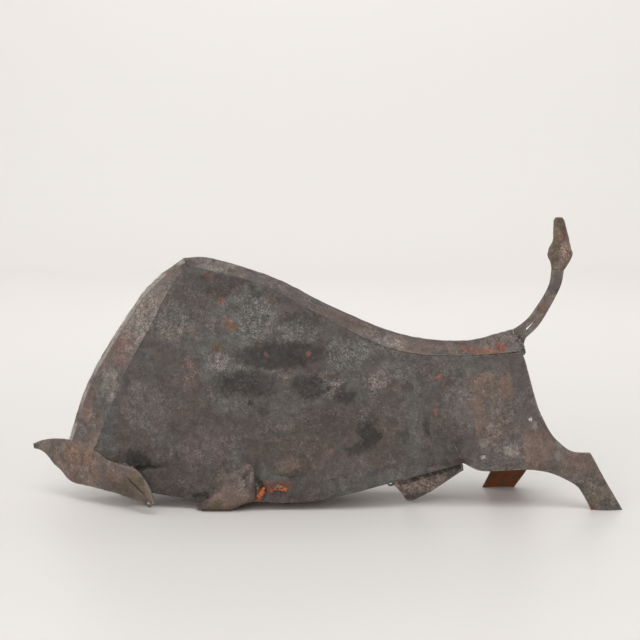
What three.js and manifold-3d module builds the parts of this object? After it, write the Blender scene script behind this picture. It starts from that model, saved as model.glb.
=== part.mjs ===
// A charging bull in folded and welded iron plate, head low and tail up. Millimetres, +Z up.
// The bull charges towards -X, its left side faces -Y, and it stands on Z = 0.
// The shell is hollow and open underneath: a bar along the neck and back, roof facets on both sides
// of it, and flanks that hang from the crease below the facets. Head, legs and tail are welded on.

import * as THREE from 'three';
import { mergeVertices } from 'three/addons/utils/BufferGeometryUtils.js';
import loadManifold from 'manifold-3d';

const manifold = await loadManifold();
manifold.setup();

const LEFT = -1;
const RIGHT = 1;

// Driving dimensions
const PLATE = 2.5; // thickness of the plate
const SEAM = 0.3; // gap left between two pieces that are welded together
const RIDGE_BAR_WIDTH = 4.2; // flat bar that stands on edge along the neck and the back
const RIDGE_BAR_DEPTH = 4;
const RIDGE_BAR_PROUD = 0.4; // how far the bar stands above the facets
const RIDGE_EDGE = (RIDGE_BAR_WIDTH + SEAM) / 2; // where a facet starts beside the bar
const HUMP_CUT = -95.4; // x where the neck's bar ends; the back's bar starts one seam behind it
const FLANK_SWELL = 8; // how far a flank swells outwards
const SEAM_BOW = 12; // how far the seam in front of a haunch bows forwards
const HAUNCH_SWELL = 6;
const SHANK_SWELL = 2.5;
const HORN_SWELL = 2.5;
const SHEATH_SWELL = 2;
const TAIL_THICKNESS = 5;
const TAIL_CHAMFER = 0.8;
const TUFT_SWELL = 4.5; // at the tuft's widest place
const TUFT_TIP_SWELL = 1.6;
// The bull's own frame is moved by this much, so that the origin is under the middle of its box.
const SHIFT = [-1.85, 3.7, 0];

// Sections of the shell from the poll to the tail. The ridge lies on the median plane. A crease and
// a hem hold x, the distance from the median plane, and z.
const POLL = {
  ridge: [-178.5, 38],
  left: { crease: [-159, 16, 35], hem: [-141, 27, 15] },
  right: { crease: [-182.5, 9, 33], hem: [-176, 7, 16] },
};
const SECTIONS = [
  { ridge: [-161, 87.5], crease: [-139, 18, 86.5], hem: [-107, 30, 9] },
  { ridge: [-130.5, 137.5], crease: [-118, 16, 126], hem: [-82.5, 35, 6.5] },
  { ridge: [-114, 157], crease: [-105, 11, 150.5], hem: [-70.5, 36, 6] },
  { ridge: [-95, 171.5], crease: [-93, 6, 168], hem: [-58, 37, 6] },
  { ridge: [-75.5, 171], crease: [-75.5, 9, 164], hem: [-44, 37, 6] },
  { ridge: [-33.5, 158], crease: [-36, 13.5, 153.5], hem: [-14, 37, 5.5] },
  { ridge: [11, 136], crease: [7.5, 16, 130], hem: [17.5, 36, 10.5] },
  { ridge: [56, 118], crease: [52.5, 16, 109.5], hem: [55.5, 34, 20.5] },
  { ridge: [99.5, 113], crease: [97.5, 14, 105], hem: [99.5, 32, 32] },
  { ridge: [134.5, 121], crease: [141.5, 6, 106.5] },
];
const HUMP = 4; // the section at the top of the shoulder, where the ridge has its corner
const HAUNCH = 9; // the section at the seam between flank and haunch
const RUMP = 10;
const COLUMNS = 4; // grid columns from one section to the next
const FLANK_ROWS = 8;
const NARROW_ROWS = 2; // grid rows of a facet and of a brisket
const SHELL_OUTWARDS = [-0.3, 1, 0.35]; // roughly square to all of the shell's plates on one side
// Share of FLANK_SWELL at the poll and at the haunch, and the sections where the flank starts to get
// flatter and the seam's bow starts.
const FLANK_FULLNESS = { poll: 0.2, haunch: 0.65 };
const FLATTER_FROM = 6;
const BOW_FROM = 5.5;

// The brisket is the patch at the bottom of the shell's front, between a horn and a foreleg.
// Its top is given as a share of the way from crease to hem, and its end in sections.
const BRISKET_TOP = { poll: 0.73, end: 0.86 };
const BRISKET_END = { from: 3, to: 3.5, tip: 3.38 };

// Front and rear edge of a hind leg below the haunch seam: x, distance from the median plane, z.
// A leg is laid out in rows from the crease down, and the hock is the row where the shank starts.
// The rear edge turns a corner there.
const REAR_EDGE_TOP = [
  [141.5, 6, 106.5], [143.8, 9, 99.5], [146.5, 12, 89.5], [149, 15.5, 79.5], [152, 19, 69.5],
];
const SEAM_ROWS = 4;
const HOCK_ROW = 9;
const SWELL_ROWS = 2; // rows over which a leg's swell grows to its full height
const HIND_LEGS = {
  left: {
    front: [[110.5, 33, 27], [128, 34, 27.5], [145, 35, 28], [160, 35, 25.5], [176, 35, 17.5],
      [182, 34.5, 10], [187.5, 34, 0]],
    rear: [[155, 22, 62.5], [158.5, 25, 55.5], [163.5, 28, 49], [174, 31.5, 41.5], [187, 33, 40.5],
      [196.5, 34, 23], [210, 34, 0]],
  },
  right: {
    front: [[107, 33.5, 30.5], [114, 35, 29], [120, 36.5, 26.5], [124, 38, 22.5], [124.5, 38.5, 16],
      [121.5, 39.5, 8], [117.5, 40, 0]],
    rear: [[154, 22, 61], [156, 26, 53.5], [158, 30, 46], [160, 34, 39], [160, 37, 31],
      [151.5, 38.5, 15], [141.5, 40, 0]],
  },
};

// The head seen from above: one crescent from tip to tip, bent at both brows.
const HEAD_PLAN = [[-206, 28], [-177.5, -2], [-165.5, -12], [-117, -50]];
// Upper and lower edge of each part of the crescent: x and z, from the bull's right to its left.
const HEAD = {
  right_horn: {
    upper: [[-206.2, 34.5], [-199, 38.5], [-190.5, 41.5], [-182.5, 43], [-177.5, 43.5]],
    lower: [[-205.4, 31], [-198, 30.2], [-190, 23.7], [-184, 19.7], [-179, 15.5]],
    swell: [0.1, 0.5, 0.9, 0.8, 0.4],
  },
  face_plate: {
    upper: [[-177.5, 43.5], [-171.5, 42.5], [-165, 40.5]],
    lower: [[-179, 15.5], [-172.5, 12.5], [-166.5, 12.5]],
    swell: [0.4, 0.3, 0.4],
  },
  left_horn: {
    upper: [[-165, 40.5], [-155.5, 38], [-147, 33.5], [-136.5, 32], [-127, 30.5], [-119.5, 23.5],
      [-115, 15.5], [-113.7, 8.7]],
    lower: [[-166.5, 12.5], [-155, 12], [-144.5, 11], [-137, 10], [-130.5, 9], [-124.5, 8],
      [-120, 6.5], [-117, 5]],
    swell: [0.4, 0.5, 0.7, 0.9, 1, 1, 0.6, 0.1],
  },
};

const HEAD_OUTWARDS = [-0.64, -0.77, 0];
const HEAD_PROFILE = [0, 1, 0.75, 0]; // of the swell, from the upper edge to the lower one
// What rests on the head or lies behind it is trimmed against a block that holds the head: the
// direction from the head to the neck seen from above, a point far in front, and how far the block
// reaches. Its top follows the head's upper edge, with one height for each corner of its plan.
const HEAD_TO_NECK = [0.66, 0.75];
const FAR_IN_FRONT = [-260, -90];
const HEAD_BLOCK = { below: 5, tops: [36, 43.9, 41.4, 18.9, 43.9], overhang: 30 };

// Outlines in x and z
const FORELEG = [[-45, 23], [-48, 33], [-61, 27], [-70.5, 25.5], [-76, 18], [-77.5, 11], [-85.5, 4.5],
  [-83, 0.6], [-76, 0], [-63, 0], [-54, 4], [-44.5, 9]];
const FORELEG_BACK = 33; // distance from the median plane, before the flank's shape is cut out of it
const FORELEG_EDGE = 40.5;
const FORELEG_DOME = 5;
const FORELEG_MIDDLE = [-63, 15];
const FORELEG_RINGS = [1, 0.85, 0.6, 0.3]; // shares of the outline's size
const TAIL = {
  root: [[142.3, 107], [134.9, 121.2]],
  left: [[140.5, 125], [146, 130], [151, 137], [156, 145], [160, 154], [161.3, 163.6]],
  right: [[170.4, 163.6], [168.5, 153], [163.5, 142], [155, 127], [149.5, 120.3], [144.5, 115.5],
    [142.7, 110.5]],
  slot: [[142.4, 120.5], [144.1, 119.2], [151.1, 127.4], [150.3, 128]],
};
const TUFT = [ // z, front edge x, rear edge x
  [164, 161.2, 170.7], [168.5, 160.2, 174.2], [173.5, 158.3, 176.1], [178.5, 159.3, 175],
  [184, 161.8, 173.6], [191, 162.2, 172.1], [200, 162.4, 170.1],
];
const SHEATH = { // upper edge behind the flank, and lower edge: x, distance from the median plane, z
  upper: [[47, 29.5, 22], [56, 28.5, 25], [66, 28, 28], [77, 27.5, 31], [88, 27, 33.5],
    [98, 26.5, 35]],
  lower: [[48, 28, 16.5], [56, 22, 9.5], [64.5, 16, 1.5], [74, 17, 5], [86, 22, 12.5], [99, 27, 24]],
};

const SHEATH_OUTWARDS = [0, 1, -0.4];
// The rump plate closes the back behind the tail, between two shares of the haunches' rear edge.
const RUMP_PLATE = { top: 0.06, bottom: 0.93, setBack: 1 };
const RUMP_OUTWARDS = [1, 0, 0.3];
// The part of a flank that forelegs and beads are fitted against, in sections along the flank and
// shares of the way down, with how deep the fitting goes.
const FITTED_FLANK = { to: 6.5, top: 0.5, bottom: 1.08, depth: 8 };
const FITTING_SLACK = 0.05;

// Weld beads: radius and the path of the middle as x, distance from the median plane, z. They are
// trimmed where they would reach into a flank or the head.
const PAIRED_BEADS = [
  {
    name: 'foreleg_weld',
    radius: 2.2,
    path: [[-42.3, 38.7, 7.5], [-40.6, 39, 12], [-38.5, 38.8, 17]],
  },
  {
    name: 'tail_weld',
    radius: 1.2,
    path: [[137.1, 4.2, 119], [139.4, 4.3, 114.5], [141.5, 4.4, 110]],
  },
];
const SINGLE_BEADS = [
  {
    name: 'left_belly_weld',
    side: LEFT,
    radius: 1.8,
    path: [[-34, 38.2, 13.5], [-29, 38.4, 17], [-23, 38.2, 14.5]],
  },
  {
    name: 'left_hock_weld',
    side: LEFT,
    radius: 1.5,
    path: [[178, 31, 21.5], [181.7, 32, 29.5], [185, 29.5, 36.5]],
  },
  {
    name: 'right_hock_weld',
    side: RIGHT,
    radius: 1.5,
    path: [[131, 34.6, 19], [142, 35.6, 23.5], [154, 34, 28.5]],
  },
  {
    name: 'left_horn_weld',
    side: LEFT,
    radius: 1.8,
    path: [[-142, 27, 30], [-136, 30.5, 30.5], [-129, 33, 29.5]],
  },
  {
    name: 'right_horn_weld',
    side: RIGHT,
    radius: 1,
    path: [[-182, 8, 29], [-180.8, 7.4, 23.5], [-179.6, 6.8, 18]],
  },
  {
    name: 'sheath_front_tack',
    side: LEFT,
    radius: 0.9,
    path: [[44.5, 32, 16.5], [46.3, 30.8, 15.2], [46, 29, 16]],
  },
  {
    name: 'sheath_rear_tack',
    side: LEFT,
    radius: 0.9,
    path: [[97, 28.4, 33], [98, 28.4, 30.5], [98.7, 28.3, 28]],
  },
];

const IRON = { color: 0x59524f, roughness: 0.72, metalness: 0.35 };
const WELD = { color: 0x6f4a38, roughness: 0.85, metalness: 0.2 };

const bull = new THREE.Group();
bull.position.set(...SHIFT);

function addPiece(name, geometry, finish = IRON) {
  geometry.computeVertexNormals();
  const piece = new THREE.Mesh(geometry, new THREE.MeshStandardMaterial(finish));
  piece.name = name;
  bull.add(piece);
}

const { clamp, inverseLerp, lerp, smoothstep } = THREE.MathUtils;
const vector = ([x, y, z], side = RIGHT) => new THREE.Vector3(x, side * y, z);
const curveThrough = (points, closed = false) => (
  new THREE.CatmullRomCurve3(points, closed, 'catmullrom', 0.5));
const steps = (from, to, count) => (
  Array.from({ length: count + 1 }, (_, i) => from + ((to - from) * i) / count));
const makeGrid = (us, ws, pointAt) => us.map((u) => ws.map((w) => pointAt(u, w)));
const sideName = (side) => (side === LEFT ? 'left' : 'right');

// Six times the volume inside a closed surface, negative where its faces point inwards.
function signedVolume(points, triangles) {
  let sum = 0;
  for (let i = 0; i < triangles.length; i += 3) {
    const [a, b, c] = [points[triangles[i]], points[triangles[i + 1]], points[triangles[i + 2]]];
    sum += a.dot(b.clone().cross(c));
  }
  return sum;
}

// A closed body from its corners and triangles, turned so that the faces point outwards.
function closedBody(points, triangles) {
  const outwards = signedVolume(points, triangles) > 0 ? triangles : [...triangles].reverse();
  const geometry = new THREE.BufferGeometry().setFromPoints(points);
  geometry.setIndex(outwards);
  return geometry;
}

// A plate between two grids of points, with a strip of quads around its four edges.
function plateBetween(outer, inner) {
  const columns = outer.length;
  const rows = outer[0].length;
  const last = columns - 1;
  const end = rows - 1;
  const triangles = [];
  const outerAt = (i, j) => i * rows + j;
  const innerAt = (i, j) => columns * rows + i * rows + j;
  const quad = (a, b, c, d) => triangles.push(a, b, c, a, c, d);
  for (let i = 0; i < last; i += 1) {
    for (let j = 0; j < end; j += 1) {
      quad(outerAt(i, j), outerAt(i + 1, j), outerAt(i + 1, j + 1), outerAt(i, j + 1));
      quad(innerAt(i, j), innerAt(i, j + 1), innerAt(i + 1, j + 1), innerAt(i + 1, j));
    }
    quad(outerAt(i, 0), innerAt(i, 0), innerAt(i + 1, 0), outerAt(i + 1, 0));
    quad(outerAt(i, end), outerAt(i + 1, end), innerAt(i + 1, end), innerAt(i, end));
  }
  for (let j = 0; j < end; j += 1) {
    quad(outerAt(0, j), outerAt(0, j + 1), innerAt(0, j + 1), innerAt(0, j));
    quad(outerAt(last, j), innerAt(last, j), innerAt(last, j + 1), outerAt(last, j + 1));
  }
  return closedBody([...outer.flat(), ...inner.flat()], triangles);
}

// Moves the edges of a plate inwards by half a seam, the same share on its outer and inner face. A
// sole stays on the ground.
function drawIn(outer, inner) {
  const faces = [outer, inner].map((grid) => grid.map((column) => column.map((point) => point.clone())));
  const last = outer.length - 1;
  const end = outer[0].length - 1;
  const pull = (from, to) => {
    const share = SEAM / 2 / outer[from[0]][from[1]].distanceTo(outer[to[0]][to[1]]);
    faces.forEach((face) => {
      const point = face[from[0]][from[1]];
      const height = point.z;
      point.lerp(face[to[0]][to[1]], Math.min(share, 0.5));
      if (height === 0) point.z = 0;
    });
  };
  for (let j = 0; j <= end; j += 1) {
    pull([0, j], [1, j]);
    pull([last, j], [last - 1, j]);
  }
  for (let i = 0; i <= last; i += 1) {
    pull([i, 0], [i, 1]);
    pull([i, end], [i, end - 1]);
  }
  return faces;
}

// The direction square to a grid at one point, on the side that away points to.
function squareTo(grid, i, j, away) {
  const at = (a, b) => grid[clamp(a, 0, grid.length - 1)][clamp(b, 0, grid[0].length - 1)];
  const along = at(i + 1, j).clone().sub(at(i - 1, j));
  const across = at(i, j + 1).clone().sub(at(i, j - 1));
  const normal = along.cross(across).normalize();
  return normal.dot(away) < 0 ? normal.negate() : normal;
}

// Gives every grid its inner face, one plate thickness in. Points that grids share get one common
// direction, the mean of their own, so that the plates meet in a mitre.
function innerFaces(grids, away, settle = (direction) => direction) {
  const key = (point) => point.toArray().map((value) => value.toFixed(2)).join(' ');
  const shared = new Map();
  for (const grid of grids) {
    grid.forEach((column, i) => column.forEach((point, j) => {
      const sum = shared.get(key(point)) ?? new THREE.Vector3();
      shared.set(key(point), sum.add(squareTo(grid, i, j, away)));
    }));
  }
  return grids.map((grid) => grid.map((column) => column.map((point) => {
    const direction = settle(shared.get(key(point)).clone().normalize(), point);
    return point.clone().addScaledVector(direction, -PLATE);
  })));
}

// Booleans work on bodies whose corners are merged.
function toSolid(geometry) {
  const bare = geometry.clone();
  bare.deleteAttribute('normal');
  bare.deleteAttribute('uv');
  const merged = mergeVertices(bare);
  return new manifold.Manifold(new manifold.Mesh({
    numProp: 3,
    vertProperties: new Float32Array(merged.attributes.position.array),
    triVerts: new Uint32Array(merged.index.array),
  }));
}

function fromSolid(solid) {
  const mesh = solid.getMesh();
  const geometry = new THREE.BufferGeometry();
  geometry.setAttribute('position', new THREE.BufferAttribute(new Float32Array(mesh.vertProperties), 3));
  geometry.setIndex([...mesh.triVerts]);
  return geometry;
}

const cutAway = (geometry, ...tools) => fromSolid(
  tools.reduce((solid, tool) => solid.subtract(toSolid(tool)), toSolid(geometry)),
);

// A flat outline in x and z, given a thickness along y that is centred on the median plane.
function flatPiece(outline, thickness, { holes = [], chamfer = 0 } = {}) {
  const shape = new THREE.Shape(outline.map(([x, z]) => new THREE.Vector2(x, z)));
  shape.holes = holes.map((hole) => new THREE.Path(hole.map(([x, z]) => new THREE.Vector2(x, z))));
  const geometry = new THREE.ExtrudeGeometry(shape, {
    depth: thickness - 2 * chamfer,
    bevelEnabled: chamfer > 0,
    bevelSegments: 1,
    bevelSize: chamfer,
    bevelThickness: chamfer,
    bevelOffset: -chamfer,
  });
  return geometry.translate(0, 0, chamfer - thickness / 2).rotateX(Math.PI / 2);
}

// Rings of points, one after the other, closed by a fan at each end.
function ringBody(rings) {
  const count = rings[0].length;
  const triangles = [];
  const at = (ring, i) => ring * count + (i % count);
  for (let ring = 0; ring + 1 < rings.length; ring += 1) {
    for (let i = 0; i < count; i += 1) {
      triangles.push(at(ring, i), at(ring, i + 1), at(ring + 1, i + 1));
      triangles.push(at(ring, i), at(ring + 1, i + 1), at(ring + 1, i));
    }
  }
  for (let i = 1; i + 1 < count; i += 1) {
    triangles.push(at(0, 0), at(0, i + 1), at(0, i));
    triangles.push(at(rings.length - 1, 0), at(rings.length - 1, i), at(rings.length - 1, i + 1));
  }
  return closedBody(rings.flat(), triangles);
}

// A weld bead: a thick bar of weld metal along a short path.
function beadAlong(points, radius) {
  const section = new THREE.Shape();
  section.absellipse(0, 0, radius, radius, 0, 2 * Math.PI);
  return new THREE.ExtrudeGeometry(section, {
    steps: 4,
    curveSegments: 4,
    bevelEnabled: false,
    extrudePath: curveThrough(points),
  });
}

// A rail through one point of every section, with a corner at the hump.
function railWithCorner(points) {
  const neck = curveThrough(points.slice(0, HUMP + 1));
  const back = curveThrough(points.slice(HUMP));
  return (u) => (u <= HUMP ? neck.getPoint(u / HUMP) : back.getPoint((u - HUMP) / (RUMP - HUMP)));
}

function shellRails(side) {
  const poll = POLL[sideName(side)];
  const ridge = [POLL, ...SECTIONS].map((section) => vector([section.ridge[0], 0, section.ridge[1]]));
  const crease = [poll, ...SECTIONS].map((section) => vector(section.crease, side));
  const hem = [poll, ...SECTIONS.slice(0, HAUNCH)].map((section) => vector(section.hem, side));
  const hemCurve = curveThrough(hem);
  return {
    ridge: railWithCorner(ridge),
    crease: railWithCorner(crease),
    hem: (u) => hemCurve.getPoint(u / HAUNCH),
  };
}

// A facet runs straight from the ridge bar to the crease.
function facetPoint(rails, side, u, v) {
  return rails.ridge(u).setY(side * RIDGE_EDGE).lerp(rails.crease(u), v);
}

// A flank hangs from the crease to the hem. It swells outwards half way down, and towards the
// haunch it also bows forwards.
function flankPoint(rails, side, u, w) {
  const half = Math.sin(Math.PI * w);
  const fullness = lerp(FLANK_FULLNESS.poll, 1, smoothstep(u, 0, HUMP))
    - (1 - FLANK_FULLNESS.haunch) * smoothstep(u, FLATTER_FROM, HAUNCH);
  const point = rails.crease(u).lerp(rails.hem(u), w);
  point.y += side * FLANK_SWELL * fullness * half;
  point.x -= SEAM_BOW * smoothstep(u, BOW_FROM, HAUNCH) * half;
  return point;
}

// The share of the way down a flank where the brisket starts.
function brisketTop(u) {
  const top = lerp(BRISKET_TOP.poll, BRISKET_TOP.end, Math.min(1, u / BRISKET_END.from));
  return lerp(top, 1, clamp(inverseLerp(BRISKET_END.from, BRISKET_END.to, u), 0, 1));
}

// A hind leg in rows from the crease down to the sole. The first rows start on the haunch seam,
// and the top row follows the crease.
function hindLegGrid(rails, side, rows) {
  const leg = HIND_LEGS[sideName(side)];
  const curve = (points) => curveThrough(points.map((point) => vector(point, side)));
  const frontCurve = curve([SECTIONS[HAUNCH - 1].hem, ...leg.front]);
  const rearPoints = [...REAR_EDGE_TOP, ...leg.rear];
  const haunchRear = curve(rearPoints.slice(0, HOCK_ROW + 1));
  const shankRear = curve(rearPoints.slice(HOCK_ROW));
  const last = rearPoints.length - 1;
  const rear = (row) => (row <= HOCK_ROW
    ? haunchRear.getPoint(row / HOCK_ROW)
    : shankRear.getPoint((row - HOCK_ROW) / (last - HOCK_ROW)));
  const front = (row) => (row <= SEAM_ROWS
    ? flankPoint(rails, side, HAUNCH, row / SEAM_ROWS)
    : frontCurve.getPoint((row - SEAM_ROWS) / (last - SEAM_ROWS)));
  return makeGrid(rows, steps(0, 1, COLUMNS), (row, s) => {
    const point = front(row).lerp(rear(row), s);
    const swell = lerp(HAUNCH_SWELL, SHANK_SWELL, smoothstep(row, SEAM_ROWS + 1, HOCK_ROW));
    const fromCrease = Math.max(0, 1 - row);
    const chord = rails.crease(HAUNCH).lerp(rails.crease(RUMP), s);
    point.add(rails.crease(HAUNCH + s).sub(chord).multiplyScalar(fromCrease));
    point.y += side * swell * Math.sin(Math.PI * s) * Math.min(1, row / SWELL_ROWS);
    if (row === last) point.z = 0;
    return point;
  });
}

// The head's crescent, offset backwards and up: a region that nothing behind the head reaches into.
function headClearance() {
  const plan = HEAD_PLAN.map(([x, y]) => new THREE.Vector2(x, y));
  const beyond = (end, bend) => (
    end.clone().addScaledVector(end.clone().sub(bend).normalize(), HEAD_BLOCK.overhang));
  const line = [beyond(plan[0], plan[1]), plan[1], plan[2], beyond(plan[3], plan[2])];
  const back = new THREE.Vector2(...HEAD_TO_NECK).multiplyScalar(PLATE + SEAM);
  const shape = new THREE.Shape([
    ...line.map((point) => point.clone().add(back)),
    new THREE.Vector2(...FAR_IN_FRONT),
  ]);
  const block = new THREE.ExtrudeGeometry(shape, { depth: 1, bevelEnabled: false });
  const { position } = block.attributes;
  const corners = shape.getPoints();
  for (let i = 0; i < position.count; i += 1) {
    const above = ({ x, y }) => Math.hypot(x - position.getX(i), y - position.getY(i)) < SEAM;
    const top = HEAD_BLOCK.tops[corners.findIndex(above)] + SEAM;
    position.setZ(i, position.getZ(i) > 0 ? top : -HEAD_BLOCK.below);
  }
  return block;
}

// A slab that covers part of a flank and stands one seam outside it.
function flankClearance(rails, side) {
  const { to, top, bottom, depth } = FITTED_FLANK;
  const grid = makeGrid(
    steps(0, to, to * COLUMNS),
    steps(top, bottom, 6),
    (u, w) => flankPoint(rails, side, u, w),
  );
  const offset = (distance) => grid.map((column, i) => column.map((point, j) => (
    point.clone().addScaledVector(squareTo(grid, i, j, vector([0, side, 0])), distance))));
  return plateBetween(offset(SEAM + FITTING_SLACK), offset(-depth));
}

// A flat bar on edge along the neck and one along the back, both cut upright where they meet.
function buildRidge(rails) {
  const bars = { crest_strip: [0, HUMP], spine_strip: [HUMP, RUMP] };
  const blockSize = 40;
  const block = new THREE.BoxGeometry(blockSize, blockSize, blockSize);
  const cutters = {
    crest_strip: block.clone().translate(HUMP_CUT + blockSize / 2, 0, SECTIONS[HUMP - 1].ridge[1]),
    spine_strip: block.clone()
      .translate(HUMP_CUT + SEAM - blockSize / 2, 0, SECTIONS[HUMP - 1].ridge[1]),
  };
  for (const [name, [from, to]] of Object.entries(bars)) {
    const line = steps(from, to, (to - from) * COLUMNS).map((u) => rails.ridge(u));
    const offset = (distance) => line.map((point, i) => {
      const before = line[Math.max(0, i - 1)];
      const after = line[Math.min(line.length - 1, i + 1)];
      const along = after.clone().sub(before).normalize();
      return [point.x - along.z * distance, point.z + along.x * distance];
    });
    const lowerEdge = offset(RIDGE_BAR_PROUD - RIDGE_BAR_DEPTH).reverse();
    const bar = flatPiece([...offset(RIDGE_BAR_PROUD), ...lowerEdge], RIDGE_BAR_WIDTH);
    addPiece(name, cutAway(bar, cutters[name], headClearance()));
  }
}

function buildSide(side) {
  const rails = shellRails(side);
  const name = sideName(side);
  const lastRow = REAR_EDGE_TOP.length + HIND_LEGS[name].rear.length - 1;
  const seamRows = steps(0, SEAM_ROWS, FLANK_ROWS);
  const legRows = [...seamRows, ...steps(SEAM_ROWS, lastRow, lastRow - SEAM_ROWS).slice(1)];

  const facet = makeGrid(
    steps(0, RUMP, RUMP * COLUMNS),
    steps(0, 1, NARROW_ROWS),
    (u, v) => facetPoint(rails, side, u, v),
  );
  const flank = makeGrid(
    steps(0, HAUNCH, HAUNCH * COLUMNS),
    steps(0, 1, FLANK_ROWS),
    (u, w) => flankPoint(rails, side, u, w * brisketTop(u)),
  );
  // The brisket's columns are those of the flank, so that both keep the same seam, and one at its tip.
  const shared = BRISKET_END.from * COLUMNS + 1;
  const brisket = makeGrid(
    [...steps(0, shared / COLUMNS, shared), BRISKET_END.tip],
    steps(0, 1, NARROW_ROWS),
    (u, w) => flankPoint(rails, side, u, lerp(brisketTop(u), 1, w)),
  );
  const leg = hindLegGrid(rails, side, legRows);

  const [facetInner, flankInner, brisketInner, legInner] = innerFaces(
    [facet, flank, brisket, leg],
    vector(SHELL_OUTWARDS, side),
    (direction, point) => {
      if (Math.abs(point.y) === RIDGE_EDGE) direction.setY(0).normalize();
      if (point.z === 0) direction.setZ(0).normalize();
      return direction;
    },
  );
  const piece = (outer, inner, from, to) => {
    const faces = drawIn(outer.slice(from, to), inner.slice(from, to));
    return plateBetween(...faces);
  };
  const hump = HUMP * COLUMNS;
  const hock = legRows.indexOf(HOCK_ROW);
  const head = headClearance();
  addPiece(`${name}_neck_facet`, cutAway(piece(facet, facetInner, 0, hump + 1), head));
  addPiece(`${name}_back_facet`, piece(facet, facetInner, hump));
  addPiece(`${name}_flank`, cutAway(piece(flank, flankInner), head));
  addPiece(`${name}_brisket`, cutAway(piece(brisket, brisketInner), head));
  addPiece(`${name}_haunch`, piece(leg, legInner, 0, hock + 1));
  addPiece(`${name}_hind_shank`, piece(leg, legInner, hock));

  addPiece(`${name}_foreleg`, cutAway(forelegBlock(side), flankClearance(rails, side)));
}

// The folded foreleg is a dome over its outline, flat behind.
function forelegBlock(side) {
  const outline = curveThrough(FORELEG.map(([x, z]) => vector([x, 0, z])), true);
  const edge = outline.getPoints(FORELEG.length * 3).slice(0, -1);
  edge.forEach((point) => { point.z = Math.max(0, point.z); });
  const middle = vector([FORELEG_MIDDLE[0], 0, FORELEG_MIDDLE[1]]);
  const domeRings = FORELEG_RINGS.map((share) => edge.map((point) => {
    const moved = middle.clone().lerp(point, share);
    if (point.z === 0) moved.z = middle.z * (1 - share);
    moved.y = side * (FORELEG_EDGE + FORELEG_DOME * (1 - share ** 2));
    return moved;
  }));
  const backRing = edge.map((point) => point.clone().setY(side * FORELEG_BACK));
  return ringBody([backRing, ...domeRings]);
}

function buildRump() {
  const inset = PLATE + 2 * SEAM;
  const edgePoints = [...REAR_EDGE_TOP, ...HIND_LEGS.left.rear.slice(0, 3)];
  const rear = curveThrough(edgePoints.map((point) => vector(point)));
  const grid = makeGrid(steps(RUMP_PLATE.top, RUMP_PLATE.bottom, 10), steps(-1, 1, 4), (t, s) => {
    const edge = rear.getPoint(t);
    return new THREE.Vector3(edge.x - RUMP_PLATE.setBack, s * (edge.y - inset), edge.z);
  });
  const inner = innerFaces([grid], vector(RUMP_OUTWARDS))[0];
  addPiece('rump_plate', plateBetween(grid, inner));
}

// The depth of the head's crescent at x, seen from above.
function headDepth(x) {
  const bend = HEAD_PLAN.slice(1, -1).filter(([bendX]) => x > bendX).length;
  const [[x0, y0], [x1, y1]] = HEAD_PLAN.slice(bend, bend + 2);
  return y0 + ((x - x0) * (y1 - y0)) / (x1 - x0);
}

function buildHead() {
  const outwards = vector(HEAD_OUTWARDS);
  const lastRow = HEAD_PROFILE.length - 1;
  const grids = Object.values(HEAD).map(({ upper, lower, swell }) => {
    const edge = (points) => curveThrough(points.map(([x, z]) => vector([x, headDepth(x), z])));
    const [upperEdge, lowerEdge] = [edge(upper), edge(lower)];
    const fullness = curveThrough(swell.map((value) => vector([value, 0, 0])));
    return makeGrid(steps(0, 1, 2 * (upper.length - 1)), steps(0, lastRow, lastRow), (t, row) => {
      const height = HORN_SWELL * fullness.getPoint(t).x * HEAD_PROFILE[row];
      const point = upperEdge.getPoint(t).lerp(lowerEdge.getPoint(t), row / lastRow);
      return point.addScaledVector(outwards, height);
    });
  });
  const inner = innerFaces(grids, outwards);
  Object.keys(HEAD).forEach((name, i) => addPiece(name, plateBetween(...drawIn(grids[i], inner[i]))));
}

function buildTail() {
  const outline = [...TAIL.root, ...TAIL.left, ...TAIL.right];
  const holes = [TAIL.slot];
  addPiece('tail_bar', flatPiece(outline, TAIL_THICKNESS, { holes, chamfer: TAIL_CHAMFER }));
  const widest = Math.max(...TUFT.map(([, front, rear]) => rear - front));
  const rings = TUFT.map(([z, front, rear], i) => {
    const middle = (front + rear) / 2;
    const isTip = i === TUFT.length - 1;
    const swell = isTip ? TUFT_TIP_SWELL : TUFT_SWELL * ((rear - front) / widest);
    return [[front, 0, z], [middle, -swell, z], [rear, 0, z], [middle, swell, z]]
      .map((point) => vector(point));
  });
  addPiece('tail_tuft', ringBody(rings));
}

function buildSheath() {
  const [upper, lower] = [SHEATH.upper, SHEATH.lower].map((edge) => (
    curveThrough(edge.map((point) => vector(point, LEFT)))));
  const grid = makeGrid(steps(0, 1, 10), steps(0, 1, 3), (t, v) => {
    const point = upper.getPoint(t).lerp(lower.getPoint(t), v);
    point.y += LEFT * SHEATH_SWELL * Math.sin(Math.PI * v) * Math.sin(Math.PI * t);
    return point;
  });
  const inner = innerFaces([grid], vector(SHEATH_OUTWARDS, LEFT))[0];
  addPiece('sheath', plateBetween(grid, inner));
}

function buildBeads() {
  const paired = PAIRED_BEADS.flatMap((bead) => [LEFT, RIGHT].map((side) => (
    { ...bead, side, name: `${sideName(side)}_${bead.name}` })));
  for (const { name, side, radius, path } of [...paired, ...SINGLE_BEADS]) {
    const bead = beadAlong(path.map((point) => vector(point, side)), radius);
    addPiece(name, cutAway(bead, flankClearance(shellRails(side), side), headClearance()), WELD);
  }
}

buildRidge(shellRails(LEFT));
buildSide(LEFT);
buildSide(RIGHT);
buildRump();
buildHead();
buildTail();
buildSheath();
buildBeads();

export default bull;
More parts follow.
